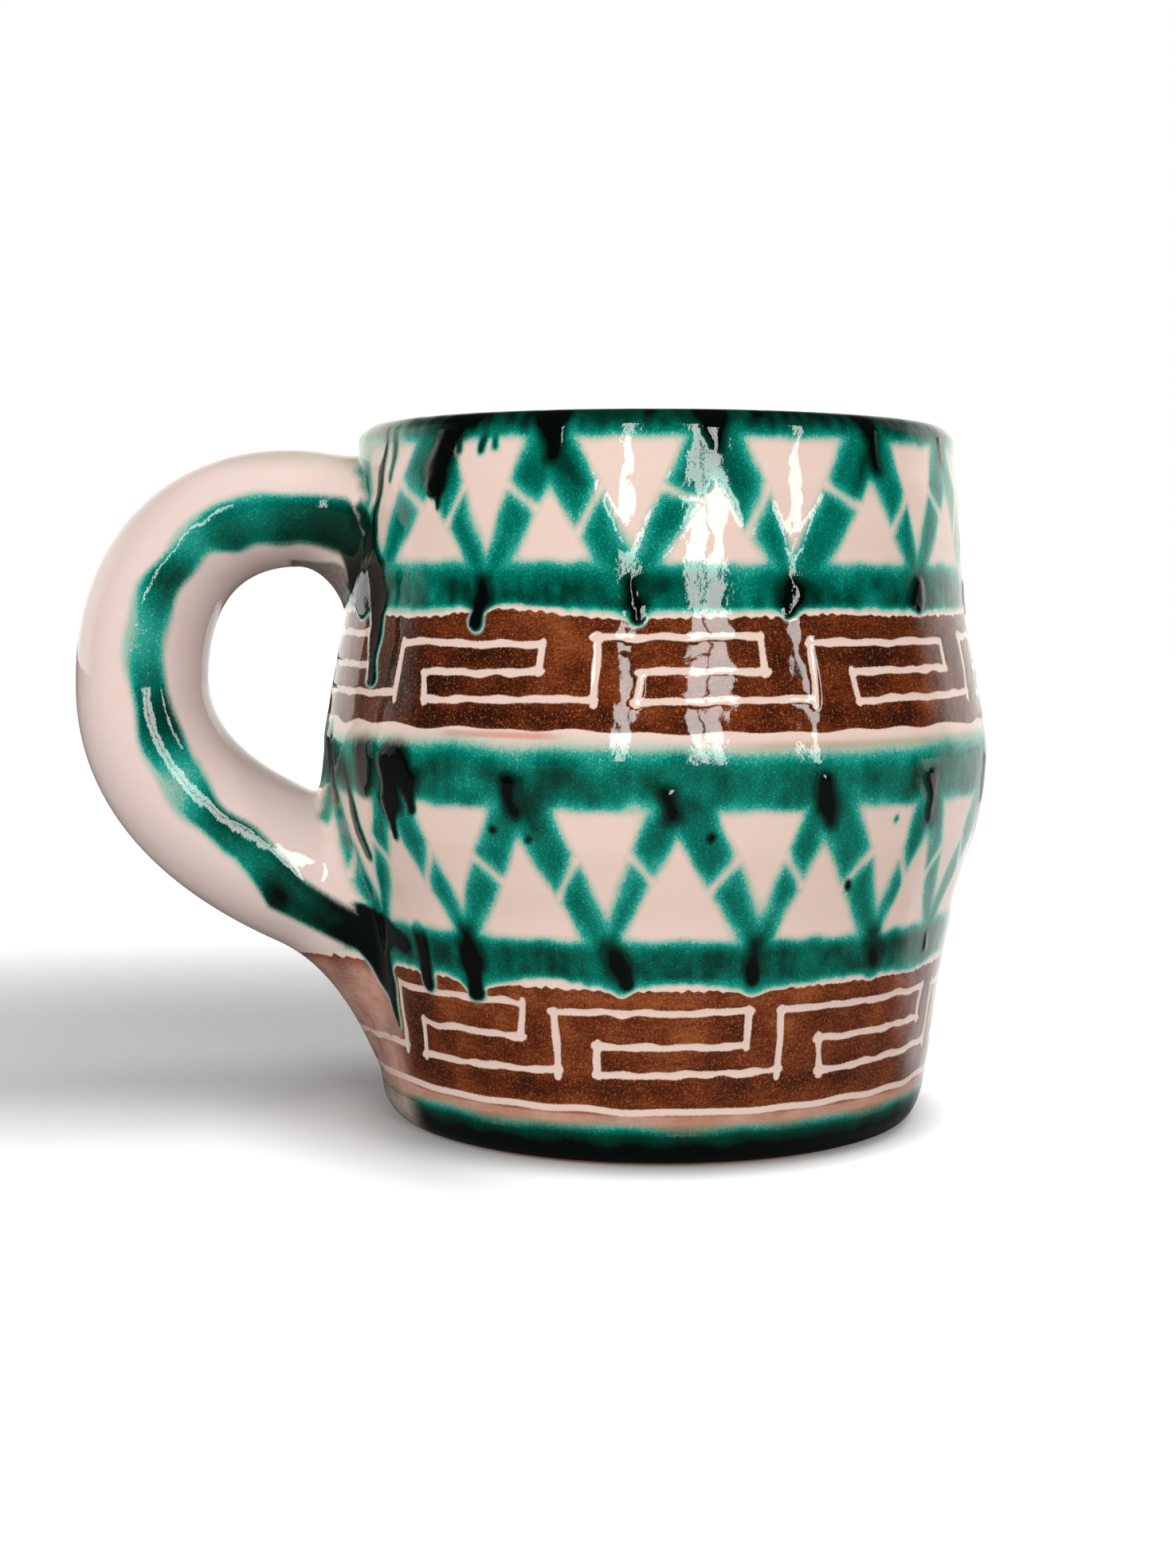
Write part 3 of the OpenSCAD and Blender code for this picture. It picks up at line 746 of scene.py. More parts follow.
def grid_normals(spots):
    """Normals of a grid of points that closes round its columns."""
    round_way = np.roll(spots, -1, 1) - np.roll(spots, 1, 1)
    up_way = np.gradient(spots, axis=0)
    normals = np.cross(round_way, up_way)
    return normals / np.maximum(np.linalg.norm(normals, axis=-1, keepdims=True), 1e-9)


LIP_STEPS = 12
MAP_STRIPS = 4
BACK_STEP = 6  # rows of the front for each row of the hidden back


def wall_rows(step):
    """Radius and height of each row of the outside, and the row where each band ends."""
    heights = [BARE_H]
    ends = [0]
    low = BARE_H
    for _, _, high in BANDS:
        top = min(high, LIP_H)
        count = max(3, round((top - low) / step))
        heights += list(np.linspace(low, top, count + 1)[1:])
        ends.append(len(heights) - 1)
        low = top
    heights = np.array(heights)
    round_lip = np.radians(np.linspace(0, 90, LIP_STEPS + 1)[1:])
    radii = np.concatenate([wall_r(heights), RIM_R - LIP_ROUND + LIP_ROUND * np.cos(round_lip)])
    heights = np.concatenate([heights, LIP_H + LIP_ROUND * np.sin(round_lip)])
    ends[-1] = len(heights) - 1
    return radii, heights, ends


def strip_map(rows, columns, strips, low, high):
    """Flat map of a ring as strips one above another, as four corners for each quad."""
    per = columns // strips
    row = np.arange(rows - 1)[:, None]
    column = np.arange(columns)[None, :]
    strip = column // per
    filled = 0.97
    u0 = (column % per) / per
    u1 = u0 + 1 / per
    span = (high - low) / strips
    v0 = low + span * (strip + filled * row / (rows - 1) + (1 - filled) / 2)
    v1 = v0 + span * filled / (rows - 1)
    edge = 0.004
    u0, u1 = (edge + (1 - 2 * edge) * u for u in (u0, u1))
    corners = [(u0, v0), (u1, v0), (u1, v1), (u0, v1)]
    return np.stack([np.stack(np.broadcast_arrays(u, v), -1) for u, v in corners], 2)


# Heights in the flat map of what shows and of what is hidden
SHOWN_SPAN = (0.04, 1)
HIDDEN_SPAN = (0, 0.036)


def shell_map(shown_rows, hidden_rows, columns, strips):
    """Flat map of a shell: what shows takes nearly all of it, and its back a strip below."""
    return stacked(
        strip_map(shown_rows, columns, strips, *SHOWN_SPAN),
        strip_map(hidden_rows, columns, 1, *HIDDEN_SPAN),
    )


def green_stand(paint, shape):
    return shape.green_build * smooth(-0.3, 0.8, paint["green"])


# From one throwing ring to the next: outside, inside and in the swirl on the floor
RING_PITCH = 5.5
INNER_PITCH = 6
SWIRL_PITCH = 7


def wall_relief(angle, z, paint, shape):
    """How far each point stands off the plain wall, in mm."""
    rings = np.cos(2 * math.pi * z / RING_PITCH + np.radians(angle) + 0.7 * np.sin(z / 9))
    stand = 0.16 + shape.throwing * rings
    stand += sway(angle, z, 41, shape.unevenness, (1, 5), 70)
    stand += sway(angle, z, 42, 0.02, (6, 20), 14)
    stand = np.maximum(stand, -0.05) + green_stand(paint, shape)
    stand += shape.drip_build * smooth(0.6, 1.0, paint["depth"]) * (z < 88)
    in_brown = smooth(0, 0.3, paint["brown"])
    stand -= shape.scratch_depth * smooth(0.5, 0.2, paint["scratch"]) * in_brown
    return stand * smooth(BARE_H, 2.5, z) * smooth(90.0, 88.6, z)


class MUG_OT_wall(bpy.types.Operator):
    """Builds the glazed bands of the wall, from the foot to the lip"""

    bl_idname = "mug.wall"
    bl_label = "Wall"

    def execute(self, context):
        shape = context.scene.mug_shape
        columns = shape.columns
        radii, heights, ends = wall_rows(shape.row_step)
        angle, z = np.broadcast_arrays(angles_round(columns), heights[:, None])
        paint = paint_wall(angle, z, context.scene.mug_paint.halo_w)
        around = 1 - smooth(LIP_H, 90.0, z)
        stand = wall_relief(angle, z, paint, shape)
        radius = radii[:, None] + stand * around
        turn = np.radians(angle - FRONT)
        spots = turned(radius, z, turn)
        normals = grid_normals(spots)
        plain = turned(radii[:, None], z, turn)
        plain_normals = grid_normals(plain)
        inner = plain - BAND_T * plain_normals
        material = glazed_paint(context.scene.mug_paint)
        for (node, slot, _), low, high in zip(BANDS, ends[:-1], ends[1:]):
            rows = high - low + 1
            front = slice(low, high + 1)
            back = np.unique(np.append(np.arange(low, high, BACK_STEP), high))[::-1]
            points = stacked(spots[front], inner[back])
            ways = stacked(normals[front], -plain_normals[back])
            faces = shell_faces(rows + len(back), columns)
            places = shell_map(rows, len(back) + 2, columns, MAP_STRIPS)
            layers = {
                title: np.concatenate([values[front].ravel(), values[back].ravel()])
                for title, values in paint.items()
            }
            piece = add_solid("glaze_" + node, points, faces, ways, places, layers)
            piece.data.materials.append(material)
            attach(piece, "root")
            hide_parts(node)
        return {"FINISHED"}


# Handle

# Joints: height, up or down, half height, half width, outer, side and inner spread
UPPER_JOINT = (78.5, 1, 7.229, 10.0, 0.6, 3.4, 6.2)
LOWER_JOINT = (29.4, -1, 11.953, 10.5, 12.5, 4.2, 7.0)
# Thickness and width of the handle at its upper joint, its far side and its lower joint
HANDLE_T = (15.0, 16.8, 20.4)
HANDLE_W = (21.0, 20.0, 22.0)
# Places along the handle, 0 at the upper joint, 1 at the far side and 2 at the lower joint,
# where its free part begins and ends, and how far it clears the wall there
FIRST_PLACE = 0.159
LAST_PLACE = 1.6998
BLEND_CLEAR = 3.0
# How the far side lies: how far out, and how high between the joints as a share
FAR_R = 66.9
FAR_SHARE = 0.562
# How the handle leaves each joint: angle, share of the reach, and how far up or down the far
# side pulls
UPPER_PULL = (14, 0.6, 0.8)
LOWER_PULL = (35, 0.1, 0.72)
# The edge of each joint's clay: how deep its hidden back sits in the wall, how far it falls onto
# the wall, and a small way further along the wall, which gives its direction
EDGE_SINK = 0.45
EDGE_FALL = np.array([0.18, 0, 0])
EDGE_STEP = 0.05
EDGE_DIP = (0.3, 0, 0)  # the skin's last ring goes this far under the wall's glaze
# Depth of the skin's hidden back, and rows of points on the skin and on its back: half of the
# free part, and each joint
SKIN_BACK = 0.1
SKIN_ROWS = (74, 34)
BACK_ROWS = (12, 5)

UPPER_ROOT, LOWER_ROOT = (
    (float(wall_r(joint[0])) - COAT_T, joint[0]) for joint in (UPPER_JOINT, LOWER_JOINT)
)
APEX = (FAR_R, LOWER_ROOT[1] + FAR_SHARE * (UPPER_ROOT[1] - LOWER_ROOT[1]))


def pulled(root, angle, share):
    """A point on the way out of a joint, at an angle and a share of the handle's reach."""
    reach = APEX[0] - root[0]
    turn = math.radians(angle)
    return (root[0] + share * reach * math.cos(turn), root[1] + share * reach * math.sin(turn))


UPPER_CURVE = np.array([
    UPPER_ROOT, pulled(UPPER_ROOT, *UPPER_PULL[:2]),
    (APEX[0], APEX[1] + UPPER_PULL[2] * (UPPER_ROOT[1] - APEX[1])), APEX,
])
LOWER_CURVE = np.array([
    APEX, (APEX[0], APEX[1] - LOWER_PULL[2] * (APEX[1] - LOWER_ROOT[1])),
    pulled(LOWER_ROOT, *LOWER_PULL[:2]), LOWER_ROOT,
])


def bezier(p, t):
    t = t[..., None]
    start, end = (1 - t) ** 3 * p[0], t**3 * p[3]
    return start + 3 * (1 - t) ** 2 * t * p[1] + 3 * (1 - t) * t**2 * p[2] + end


def bezier_way(p, t):
    t = t[..., None]
    way = (1 - t) ** 2 * (p[1] - p[0]) + 2 * (1 - t) * t * (p[2] - p[1]) + t**2 * (p[3] - p[2])
    return unit(way)


def centre_and_way(s):
    """The middle of the handle's section and the way it runs, at a place along it."""
    upper = (s < 1)[..., None]
    low_t = np.clip(s - 1, 0, 1)
    high_t = np.clip(s, 0, 1)
    return (
        np.where(upper, bezier(UPPER_CURVE, high_t), bezier(LOWER_CURVE, low_t)),
        np.where(upper, bezier_way(UPPER_CURVE, high_t), bezier_way(LOWER_CURVE, low_t)),
    )


def size_at(s, sizes):
    top, mid, bottom = sizes
    eased = smooth(0, 1, s)
    below = np.sin(math.pi / 2 * np.clip(s - 1, 0, 1))
    return np.where(s < 1, top + (mid - top) * eased, mid + (bottom - mid) * below)


def ring_point(s, a, out):
    """A point of the handle at a place along it, an angle round it and a height of coat."""
    centre, way = centre_and_way(s)
    half_t = size_at(s, HANDLE_T) / 2 - COAT_T + out
    half_w = size_at(s, HANDLE_W) / 2 - COAT_T + out
    return np.stack([
        -(centre[..., 0] - half_t * np.cos(a) * way[..., 1]),
        half_w * np.sin(a),
        centre[..., 1] + half_t * np.cos(a) * way[..., 0],
    ], -1)


def on_wall(y, z, inset):
    return np.stack([-np.sqrt((wall_r(z) - inset) ** 2 - y**2), y, z], -1)


def joint_edge(joint, a, inset, further=0.0):
    middle, up, half_h, half_w, outer, side, inner = joint
    spread = np.sin(a) ** 2 * side + np.cos(a) ** 2 * np.where(np.cos(a) > 0, outer, inner)
    grow = spread + further
    edge = on_wall((half_w + grow) * np.sin(a), middle + up * (half_h + grow) * np.cos(a), inset)
    return edge, spread


def last_place(a):
    """Where each side of the handle still clears the wall, on the way to the lower joint."""
    tries = 1000
    s = np.linspace(1, 2, tries + 1)[:, None]
    spot = ring_point(*np.broadcast_arrays(s, a[None, :]), 0)
    clear = np.hypot(spot[..., 0], spot[..., 1]) - wall_r(spot[..., 2]) + COAT_T
    near = clear < BLEND_CLEAR
    index = np.where(near.any(axis=0), np.argmax(near, axis=0), tries)
    return np.minimum(LAST_PLACE, 1 + index / tries)


def blend_into(joint, a, s, out, t):
    """The joint's clay: leaves the handle along its pull and meets the wall along the wall."""
    start = ring_point(s, a, out)
    _, way = centre_and_way(s)
    inset = EDGE_SINK * (1 - out / COAT_T)
    end, spread = joint_edge(joint, a, inset)
    beyond, _ = joint_edge(joint, a, inset, EDGE_STEP)
    reach = np.linalg.norm(end - start, axis=-1, keepdims=True)
    leave = -joint[1] * reach * np.stack([-way[..., 0], 0 * a, way[..., 1]], -1)
    along = unit(beyond - end) + EDGE_FALL
    arrive = np.minimum(reach, 2 * spread[..., None]) * along
    return hermite(start, end, leave, arrive, t)


def handle_rings(a, out, row_counts):
    """Rings of points from the wall at the upper joint to the wall at the lower one."""
    free_rows, blend_rows = row_counts
    last = last_place(a)
    first = np.full_like(a, FIRST_PLACE)
    rings = [blend_into(UPPER_JOINT, a, first, out, t) for t in np.linspace(1, 0, blend_rows + 1)]
    places = [first] * (blend_rows + 1)
    for share in np.linspace(0, 1, 2 * free_rows + 1)[1:]:
        s = np.where(share < 0.5, first + (1 - first) * 2 * share, 1 + (last - 1) * (2 * share - 1))
        rings.append(ring_point(s, a, out))
        places.append(s)
    for share in np.linspace(0, 1, blend_rows + 1)[1:]:
        rings.append(blend_into(LOWER_JOINT, a, last, out, share))
    places += [last] * blend_rows
    return np.array(rings), np.array(places)


# The green stripe on each flank: places along the handle, and there how far its middle lies
# towards the inside of the loop, and half its width
STRIPE_PLACES = (0.16, 0.3, 0.6, 1.0, 1.25, 1.4, 1.5, 1.57, 1.64, 1.7)
STRIPE_SAGS = (1.6, 1.3, 0.6, 1.2, 1.85, 1.1, 0.5, -0.7, -1.9, -2.75)
STRIPE_HALVES = (3.7, 3.4, 2.5, 2.5, 3.05, 2.5, 2.2, 2.9, 3.2, 3.3)
# How far off the wall its bands go on over the joints, at each height
BANDS_REACH = ((20, 9.0), (22, 8.5), (24, 2.0), (50, 1.4), (66, 0.5), (74, 0.6), (80, 0.8))


def paint_handle(spots, places, a, halo_w):
    """Paint on the handle: the wall's own near the joints, a green stripe on each flank, and dark
    green on the underside by the upper joint that is partly painted shade.
    """
    angle = np.degrees(np.arctan2(spots[..., 0], -spots[..., 1])) + FRONT
    z = spots[..., 2]
    off = off_wall(spots)
    far = np.interp(z, *zip(*BANDS_REACH)) + 0.3 * np.sin(z * 1.3) + 0.2 * np.sin(z * 2.7 + 1)
    wall = paint_wall(angle, z, halo_w, (far - off) * 0.8)
    turn = np.abs((np.degrees(a) + 180) % 360 - 180)
    across = np.radians(turn - 90) * size_at(places, HANDLE_T) / 2
    half = np.interp(places, STRIPE_PLACES, STRIPE_HALVES)
    falling = smooth(2.6, -0.6, off)
    sag = np.interp(places, STRIPE_PLACES, STRIPE_SAGS)
    sag += np.where(places > 1, -1.4 * smooth(9, 2, off), 4.4 * falling)
    loose = wander(places * 60, 61, 0.2, 6, 40)
    slip = wander(places * 60, 62, 0.28, 6, 30)
    stripe = half + loose - np.abs(across - sag - slip)
    stripe = np.where(places > 1, np.minimum(stripe, z - 21.6 - 0.58 * off), stripe)
    # Painted shade, partly dark glaze: green on the handle's underside next to the upper joint
    under_joint_shade = np.minimum(across - 8.8 + 2.0 * smooth(6, 2, off) + slip, (0.19 - places) * 30)
    stripe = np.maximum(stripe, np.minimum(under_joint_shade, 1.2 + 3 * loose))

    # Glaze gathers near the wall, along the stripe's edges and where it turns into the joint, and
    # the green on the underside by the upper joint is partly painted shade
    deep = 0.2 + 0.22 * smooth(-0.2, 1.8, stripe) + wander(places * 60, 63, 0.12, 4, 24)
    deep += 0.12 * (across - sag) / half
    deep += smooth(9, 2, off) * np.where(places < 1, 0.12, 0.34) + 0.2 * falling
    deep += 0.1 * hill(stripe, 0.8, 0.45) * (places > 1)
    deep += 0.36 * hill(places, 1.65, 0.06) * smooth(1.2, -1.2, across - sag)
    deep += 0.3 * smooth(-0.5, 0.5, under_joint_shade)
    on_wall_paint = wall["green"] > -1
    on_stripe = smooth(-0.3, 0.6, stripe - np.maximum(wall["green"], -0.5))
    depth = np.maximum(wall["depth"] * on_wall_paint, deep * on_stripe)
    return {
        **wall,
        "green": np.clip(np.maximum(wall["green"], stripe), -3, 3),
        "depth": np.clip(np.where(on_stripe + on_wall_paint > 0, depth, 0.36), 0, 1),
        "brown": np.minimum(wall["brown"], -stripe - halo_w),
        "blush": 0 * z,
        "tan": 0 * z,
        "load": wall["load"] + 0.12 * smooth(1, 6, off),
        "handle": smooth(0.5, 4, off),
    }


class MUG_OT_handle(bpy.types.Operator):
    """Builds the glazed skin of the handle and of both its joints"""

    bl_idname = "mug.handle"
    bl_label = "Handle"

    def execute(self, context):
        shape = context.scene.mug_shape
        sides = shape.handle_sides
        a = np.linspace(0, 2 * math.pi, sides, endpoint=False)
        spots, places = handle_rings(a, COAT_T, SKIN_ROWS)
        paint = paint_handle(spots, places, a[None, :], context.scene.mug_paint.halo_w)
        stand = green_stand(paint, shape) * smooth(0, 0.6, off_wall(spots))
        tie = smooth(0.9, 0.0, off_wall(spots))[..., None]
        spots = spots + grid_normals(spots) * stand[..., None]

        # Close to the wall the skin takes the wall's own normals, so that no seam shows
        wall_way = unit(spots * (1, 1, 0))
        z, step = spots[..., 2], 0.3
        wall_way[..., 2] = (wall_r(z - step) - wall_r(z + step)) / (2 * step)
        normals = unit(grid_normals(spots) * (1 - tie) + wall_way * tie)
        under = handle_rings(a, SKIN_BACK, BACK_ROWS)[0][::-1]
        dip = spots[[0, -1]] + EDGE_DIP
        points = stacked(dip[:1], spots, dip[1:], under)
        under_ways = -grid_normals(under[::-1])[::-1]
        ways = stacked(normals[:1], normals, normals[-1:], under_ways)
        faces = shell_faces(len(spots) + 2 + len(under), sides)
        flat = shell_map(len(spots) + 2, len(under) + 2, sides, 1)
        bare = np.zeros(under.shape[:2])
        layers = {
            title: np.concatenate([values[:1], values, values[-1:], bare]).ravel()
            for title, values in paint.items()
        }
        piece = add_solid("glaze_handle", points, faces, ways, flat, layers)
        piece.data.materials.append(glazed_paint(context.scene.mug_paint))
        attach(piece, "root")
        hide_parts("handle_slip")
        return {"FINISHED"}


# Lining


LINING_COLUMNS = 384
LINING_ROWS = (90, 24, 40)  # on its wall, round its corner and on its floor
LINING_BACK_STEP = 5
DISC_R = 0.475  # of the inside as it lies in the flat map
# How much further green ran down inside from each apex of the upper zigzag
LINING_RUNS = (5, 1.5, 7, 2, 4, 1, 6, 3, 1.5, 5, 2, 7, 3)


def lining_profile():
    """Radius and height of each row of the inside: lip, wall, corner and floor."""
    wall_steps, bend_steps, floor_steps = LINING_ROWS
    lip = np.radians(np.linspace(0, 90, LIP_STEPS + 1))
    lip_r = RIM_R - LIP_ROUND - LIP_ROUND * np.sin(lip)
    lip_z = LIP_H + LIP_ROUND * np.cos(lip)
    wall_z = np.linspace(LIP_H, FLOOR_H + FLOOR_ROUND, wall_steps)[1:]
    bend = np.radians(np.linspace(0, 90, bend_steps + 1)[1:])
    corner_z = FLOOR_H + np.maximum(FLOOR_ROUND * (1 - np.sin(bend)), 1e-4)
    corner_r = inner_r(corner_z)
    corner_z[-1] = FLOOR_H
    floor_r = np.linspace(corner_r[-1], 0.4, floor_steps)[1:]
    radii = np.concatenate([lip_r, inner_r(wall_z), corner_r, floor_r])
    heights = np.concatenate([lip_z, wall_z, corner_z, np.full(len(floor_r), FLOOR_H)])
    return radii, heights


def disc_map(face, spread, turn, columns, shown_rows):
    """Flat map of a face: the inside lies as a disc, and what is hidden in a corner."""
    flat = []
    for index in face:
        row, column = divmod(index, columns)
        if row < shown_rows and len(face) <= 4 or row == shown_rows - 1:
            out = DISC_R - spread[row, column]
            way = turn[row, column]
            flat.append((0.5 + out * math.sin(way), 0.5 + out * math.cos(way)))
        else:
            flat.append((0.01 + 0.02 * column / columns, 0.01 + 0.0005 * (row % 60)))
    return np.array(flat)


def paint_lining(angle, r, z, run):
    """Green that ran over the lip, and glaze that pooled in the corner of the floor."""
    depth = 0.66 - 0.045 * run + 0.06 * wander(angle, 51, 1, 12, 90)
    runs = 3.8 + wander(angle, 52, 0.7, 3, 16) + 0.16 * wander(angle, 53, 1, 30, 70)
    for place, far in zip(UPPER_ZIGZAG.apexes, LINING_RUNS):
        runs += far * hill(aside(angle, place + 9, 34), 0, 1.2)
    pooled = smooth(24, 27, r) * smooth(33, 30, r) * (z < FLOOR_H + 5)
    return {"green": (runs - run) * 0.6, "depth": np.clip(depth, 0.25, 1), "pooled": pooled}


class MUG_OT_lining(bpy.types.Operator):
    """Builds the glaze over the inside, from the top of the lip to the middle of the floor"""

    bl_idname = "mug.lining"
    bl_label = "Lining"

    def execute(self, context):
        columns = LINING_COLUMNS
        radii, heights = lining_profile()
        rows = len(radii)
        run = np.concatenate([[0], np.cumsum(np.hypot(np.diff(radii), np.diff(heights)))])
        angle, r, z, run = np.broadcast_arrays(
            angles_round(columns), radii[:, None], heights[:, None], run[:, None]
        )
        ways = unit(np.stack([np.gradient(heights), -np.gradient(radii)], -1))
        turn = np.radians(angle - FRONT)
        rings = np.cos(2 * math.pi * run / INNER_PITCH + np.radians(angle)) * smooth(4, 9, run)
        swirl = np.cos(2 * math.pi * r / SWIRL_PITCH - np.radians(angle)) * smooth(30, 26, r)
        swirl = swirl * (z < FLOOR_H + 1) * smooth(0.4, 3, r)
        stand = 0.06 * rings * smooth(26, 30, r) + 0.12 * swirl
        spots = turned(r + stand * ways[:, :1], z + stand * ways[:, 1:], turn)
        normals = grid_normals(spots)
        back = turned(r - LINER_T * ways[:, :1], z - LINER_T * ways[:, 1:], turn)
        back_rows = np.unique(np.append(np.arange(0, rows, LINING_BACK_STEP), rows - 1))[::-1]
        edge = rows * columns
        faces = grid_faces(rows, columns).tolist()
        faces.append(list(range(edge - columns, edge)))
        faces += grid_faces(len(back_rows), columns, first=edge).tolist()
        faces.append(list(range(edge, edge + columns))[::-1])
        faces += join_rings((rows + len(back_rows) - 1) * columns, 0, columns).tolist()
        spread = run / run.max() * 0.47
        flat = np.concatenate([disc_map(f, spread, turn, columns, rows) for f in faces])
        layers = paint_lining(angle, r, z, run)
        for title, values in layers.items():
            layers[title] = np.concatenate([values.ravel(), values[back_rows].ravel()])
        points = stacked(spots, back[back_rows])
        normals = stacked(normals, -normals[back_rows])
        piece = add_solid("glaze_lining", points, faces, normals, flat, layers)
        piece.data.materials.append(lining_glaze(context.scene.mug_paint))
        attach(piece, "root")
        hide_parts("liner_glaze")
        return {"FINISHED"}


# Materials


class Wire:
    """A number that runs between a material's nodes, so that sums read as plain sums"""

    def __init__(self, recipe, socket):
        self.recipe, self.socket = recipe, socket

    def sum_with(self, operation, *values):
        return self.recipe.node("ShaderNodeMath", {"operation": operation}, dict(enumerate(values)))

    def __add__(self, other):
        return self.sum_with("ADD", self, other)

    def __sub__(self, other):
        return self.sum_with("SUBTRACT", self, other)

    def __rsub__(self, other):
        return self.sum_with("SUBTRACT", other, self)

    def __mul__(self, other):
        return self.sum_with("MULTIPLY", self, other)

    __radd__ = __add__
    __rmul__ = __mul__

    def rising(self, low, high):
        """From 0 to 1 as the number goes from low to high, eased at both ends."""
        return self.recipe.node(
            "ShaderNodeMapRange", {"interpolation_type": "SMOOTHSTEP"},
            {"Value": self, "From Min": low, "From Max": high},
        )


class Recipe:
    """A material, or the world, and the nodes that make its finish"""

    def __init__(self, name, world=None):
        self.material = world or bpy.data.materials.new(name)
        self.material.use_nodes = True
        self.tree = self.material.node_tree
        self.tree.nodes.clear()

    def node(self, kind, settings=None, inputs=None, output=0):
        made = self.tree.nodes.new(kind)
        for title, value in (settings or {}).items():
            if title == "stops":
                self.set_stops(made, value)
            else:
                setattr(made, title, value)
        for title, value in (inputs or {}).items():
            self.feed(made.inputs[title], value)
        return Wire(self, made.outputs[output]) if made.outputs else None

    def feed(self, socket, value):
        if isinstance(value, Wire):
            self.tree.links.new(value.socket, socket)
        elif socket.type == "RGBA":
            socket.default_value = (*value, 1)
        else:
            socket.default_value = value

    @staticmethod
    def set_stops(node, stops):
        ramp = node.color_ramp
        while len(ramp.elements) < len(stops):
            ramp.elements.new(1)
        for element, (place, shade) in zip(ramp.elements, stops):
            element.position = place
            element.color = (*shade, 1)

    def layer(self, title):
        """A number that a mesh carries at each of its points."""
        settings = {"attribute_name": title, "attribute_type": "GEOMETRY"}
        return self.node("ShaderNodeAttribute", settings, output="Fac")

    def place(self, space, *axes):
        """The place of a point, whole or its part along each axis that is asked for."""
        whole = self.node("ShaderNodeTexCoord", output=space)
        if not axes:
            return whole
        return [self.node("ShaderNodeSeparateXYZ", None, {0: whole}, axis) for axis in axes]

    def rays(self):
        """1 for rays straight from the camera, and 1 for rays that a gloss mirrors."""
        return [
            self.node("ShaderNodeLightPath", output=kind)
            for kind in ("Is Camera Ray", "Is Glossy Ray")
        ]

    def mix(self, share, under, over):
        return self.node(
            "ShaderNodeMix", {"data_type": "RGBA"}, {0: share, 6: under, 7: over}, output=2
        )

    def ramp(self, value, stops):
        return self.node("ShaderNodeValToRGB", {"stops": stops}, {"Fac": value})

    def noise(self, stretch, scale, detail=2, roughness=0.5):
        """Noise with a scale per mm, stretched along each axis."""
        spots = {0: self.place("Object"), 1: tuple(s / MM for s in stretch)}
        return self.node("ShaderNodeTexNoise", None, {
            "Vector": self.node("ShaderNodeVectorMath", {"operation": "MULTIPLY"}, spots),
            "Scale": scale, "Detail": detail, "Roughness": roughness,
        })

    def finish(self, inputs, height=None, distance=0.0004):
        """The material, with a bump as high as said, in metres, where a height is given."""
        if height is not None:
            bump = {"Height": height, "Strength": 0.5, "Distance": distance}
            inputs["Normal"] = self.node("ShaderNodeBump", None, bump)
        shader = self.node("ShaderNodeBsdfPrincipled", None, inputs)
        self.node("ShaderNodeOutputMaterial", None, {"Surface": shader})
        return self.material


# Ways that noise is stretched
ROUND = (1, 1, 1)
SIDEWAYS = (0.2, 0.2, 1)
DOWNWARDS = (1, 1, 0.14)

# Shades that vary the painted colours
FAINT_GREEN = linear(150, 186, 170)
SPARK = linear(178, 104, 60)
# Painted sheen: pink, which is partly thin brown, and grey-olive near the edges
THIN_PINK_AND_SHEEN = linear(204, 158, 142)
OLIVE_SHEEN = linear(176, 176, 152)
WHITE_BLOOM = linear(231, 198, 186)
RED_BLUSH = linear(205, 108, 92)
TAN_EDGE = linear(186, 140, 104)
WARM_SLIP = linear(222, 196, 184)
IRON_SPECK = linear(150, 105, 80)
POOLED_CLEAR = linear(196, 190, 168)
PALE_CLAY = linear(196, 134, 100)
DARK_GROG = linear(122, 70, 46)


def green_colour(recipe, paint, depth):
    """Green from the faintest wash to what stands in a drip."""
    stops = (
        (0.0, FAINT_GREEN),
        (0.18, tuple(paint.green_thin)),
        (0.38, tuple(paint.green)),
        (0.62, tuple(paint.green_thick)),
        (0.88, tuple(paint.green_pool)),
    )
    return recipe.ramp(depth, stops)


def brown_colour(recipe, paint, load, pink_sheen_and_thin):
    """Brown from where the brush left most to where it left little, with rust-red sparks, and pink
    where it is thinner and where sheen is painted.
    """
    shade = recipe.ramp(load, (
        (0.1, tuple(paint.brown_thick)),
        (0.45, tuple(paint.brown)),
        (0.85, tuple(paint.brown_thin)),
    ))
    spark = recipe.noise(ROUND, 4.2, 1).rising(0.6, 0.68)
    return recipe.mix(pink_sheen_and_thin, recipe.mix(spark * 0.5, shade, SPARK), THIN_PINK_AND_SHEEN)


def white_colour(recipe, paint, cloud):
    """The pale ground: pinker in clouds, red or tan along two edges, and cooler on the handle."""
    white = recipe.mix(recipe.layer("handle"), tuple(paint.white), tuple(paint.handle_white))
    white = recipe.mix(cloud.rising(0.02, 0.3) * 0.5, white, WHITE_BLOOM)
    white = recipe.mix(recipe.layer("blush") * 0.75, white, RED_BLUSH)
    return recipe.mix(recipe.layer("tan") * 0.7, white, TAN_EDGE)


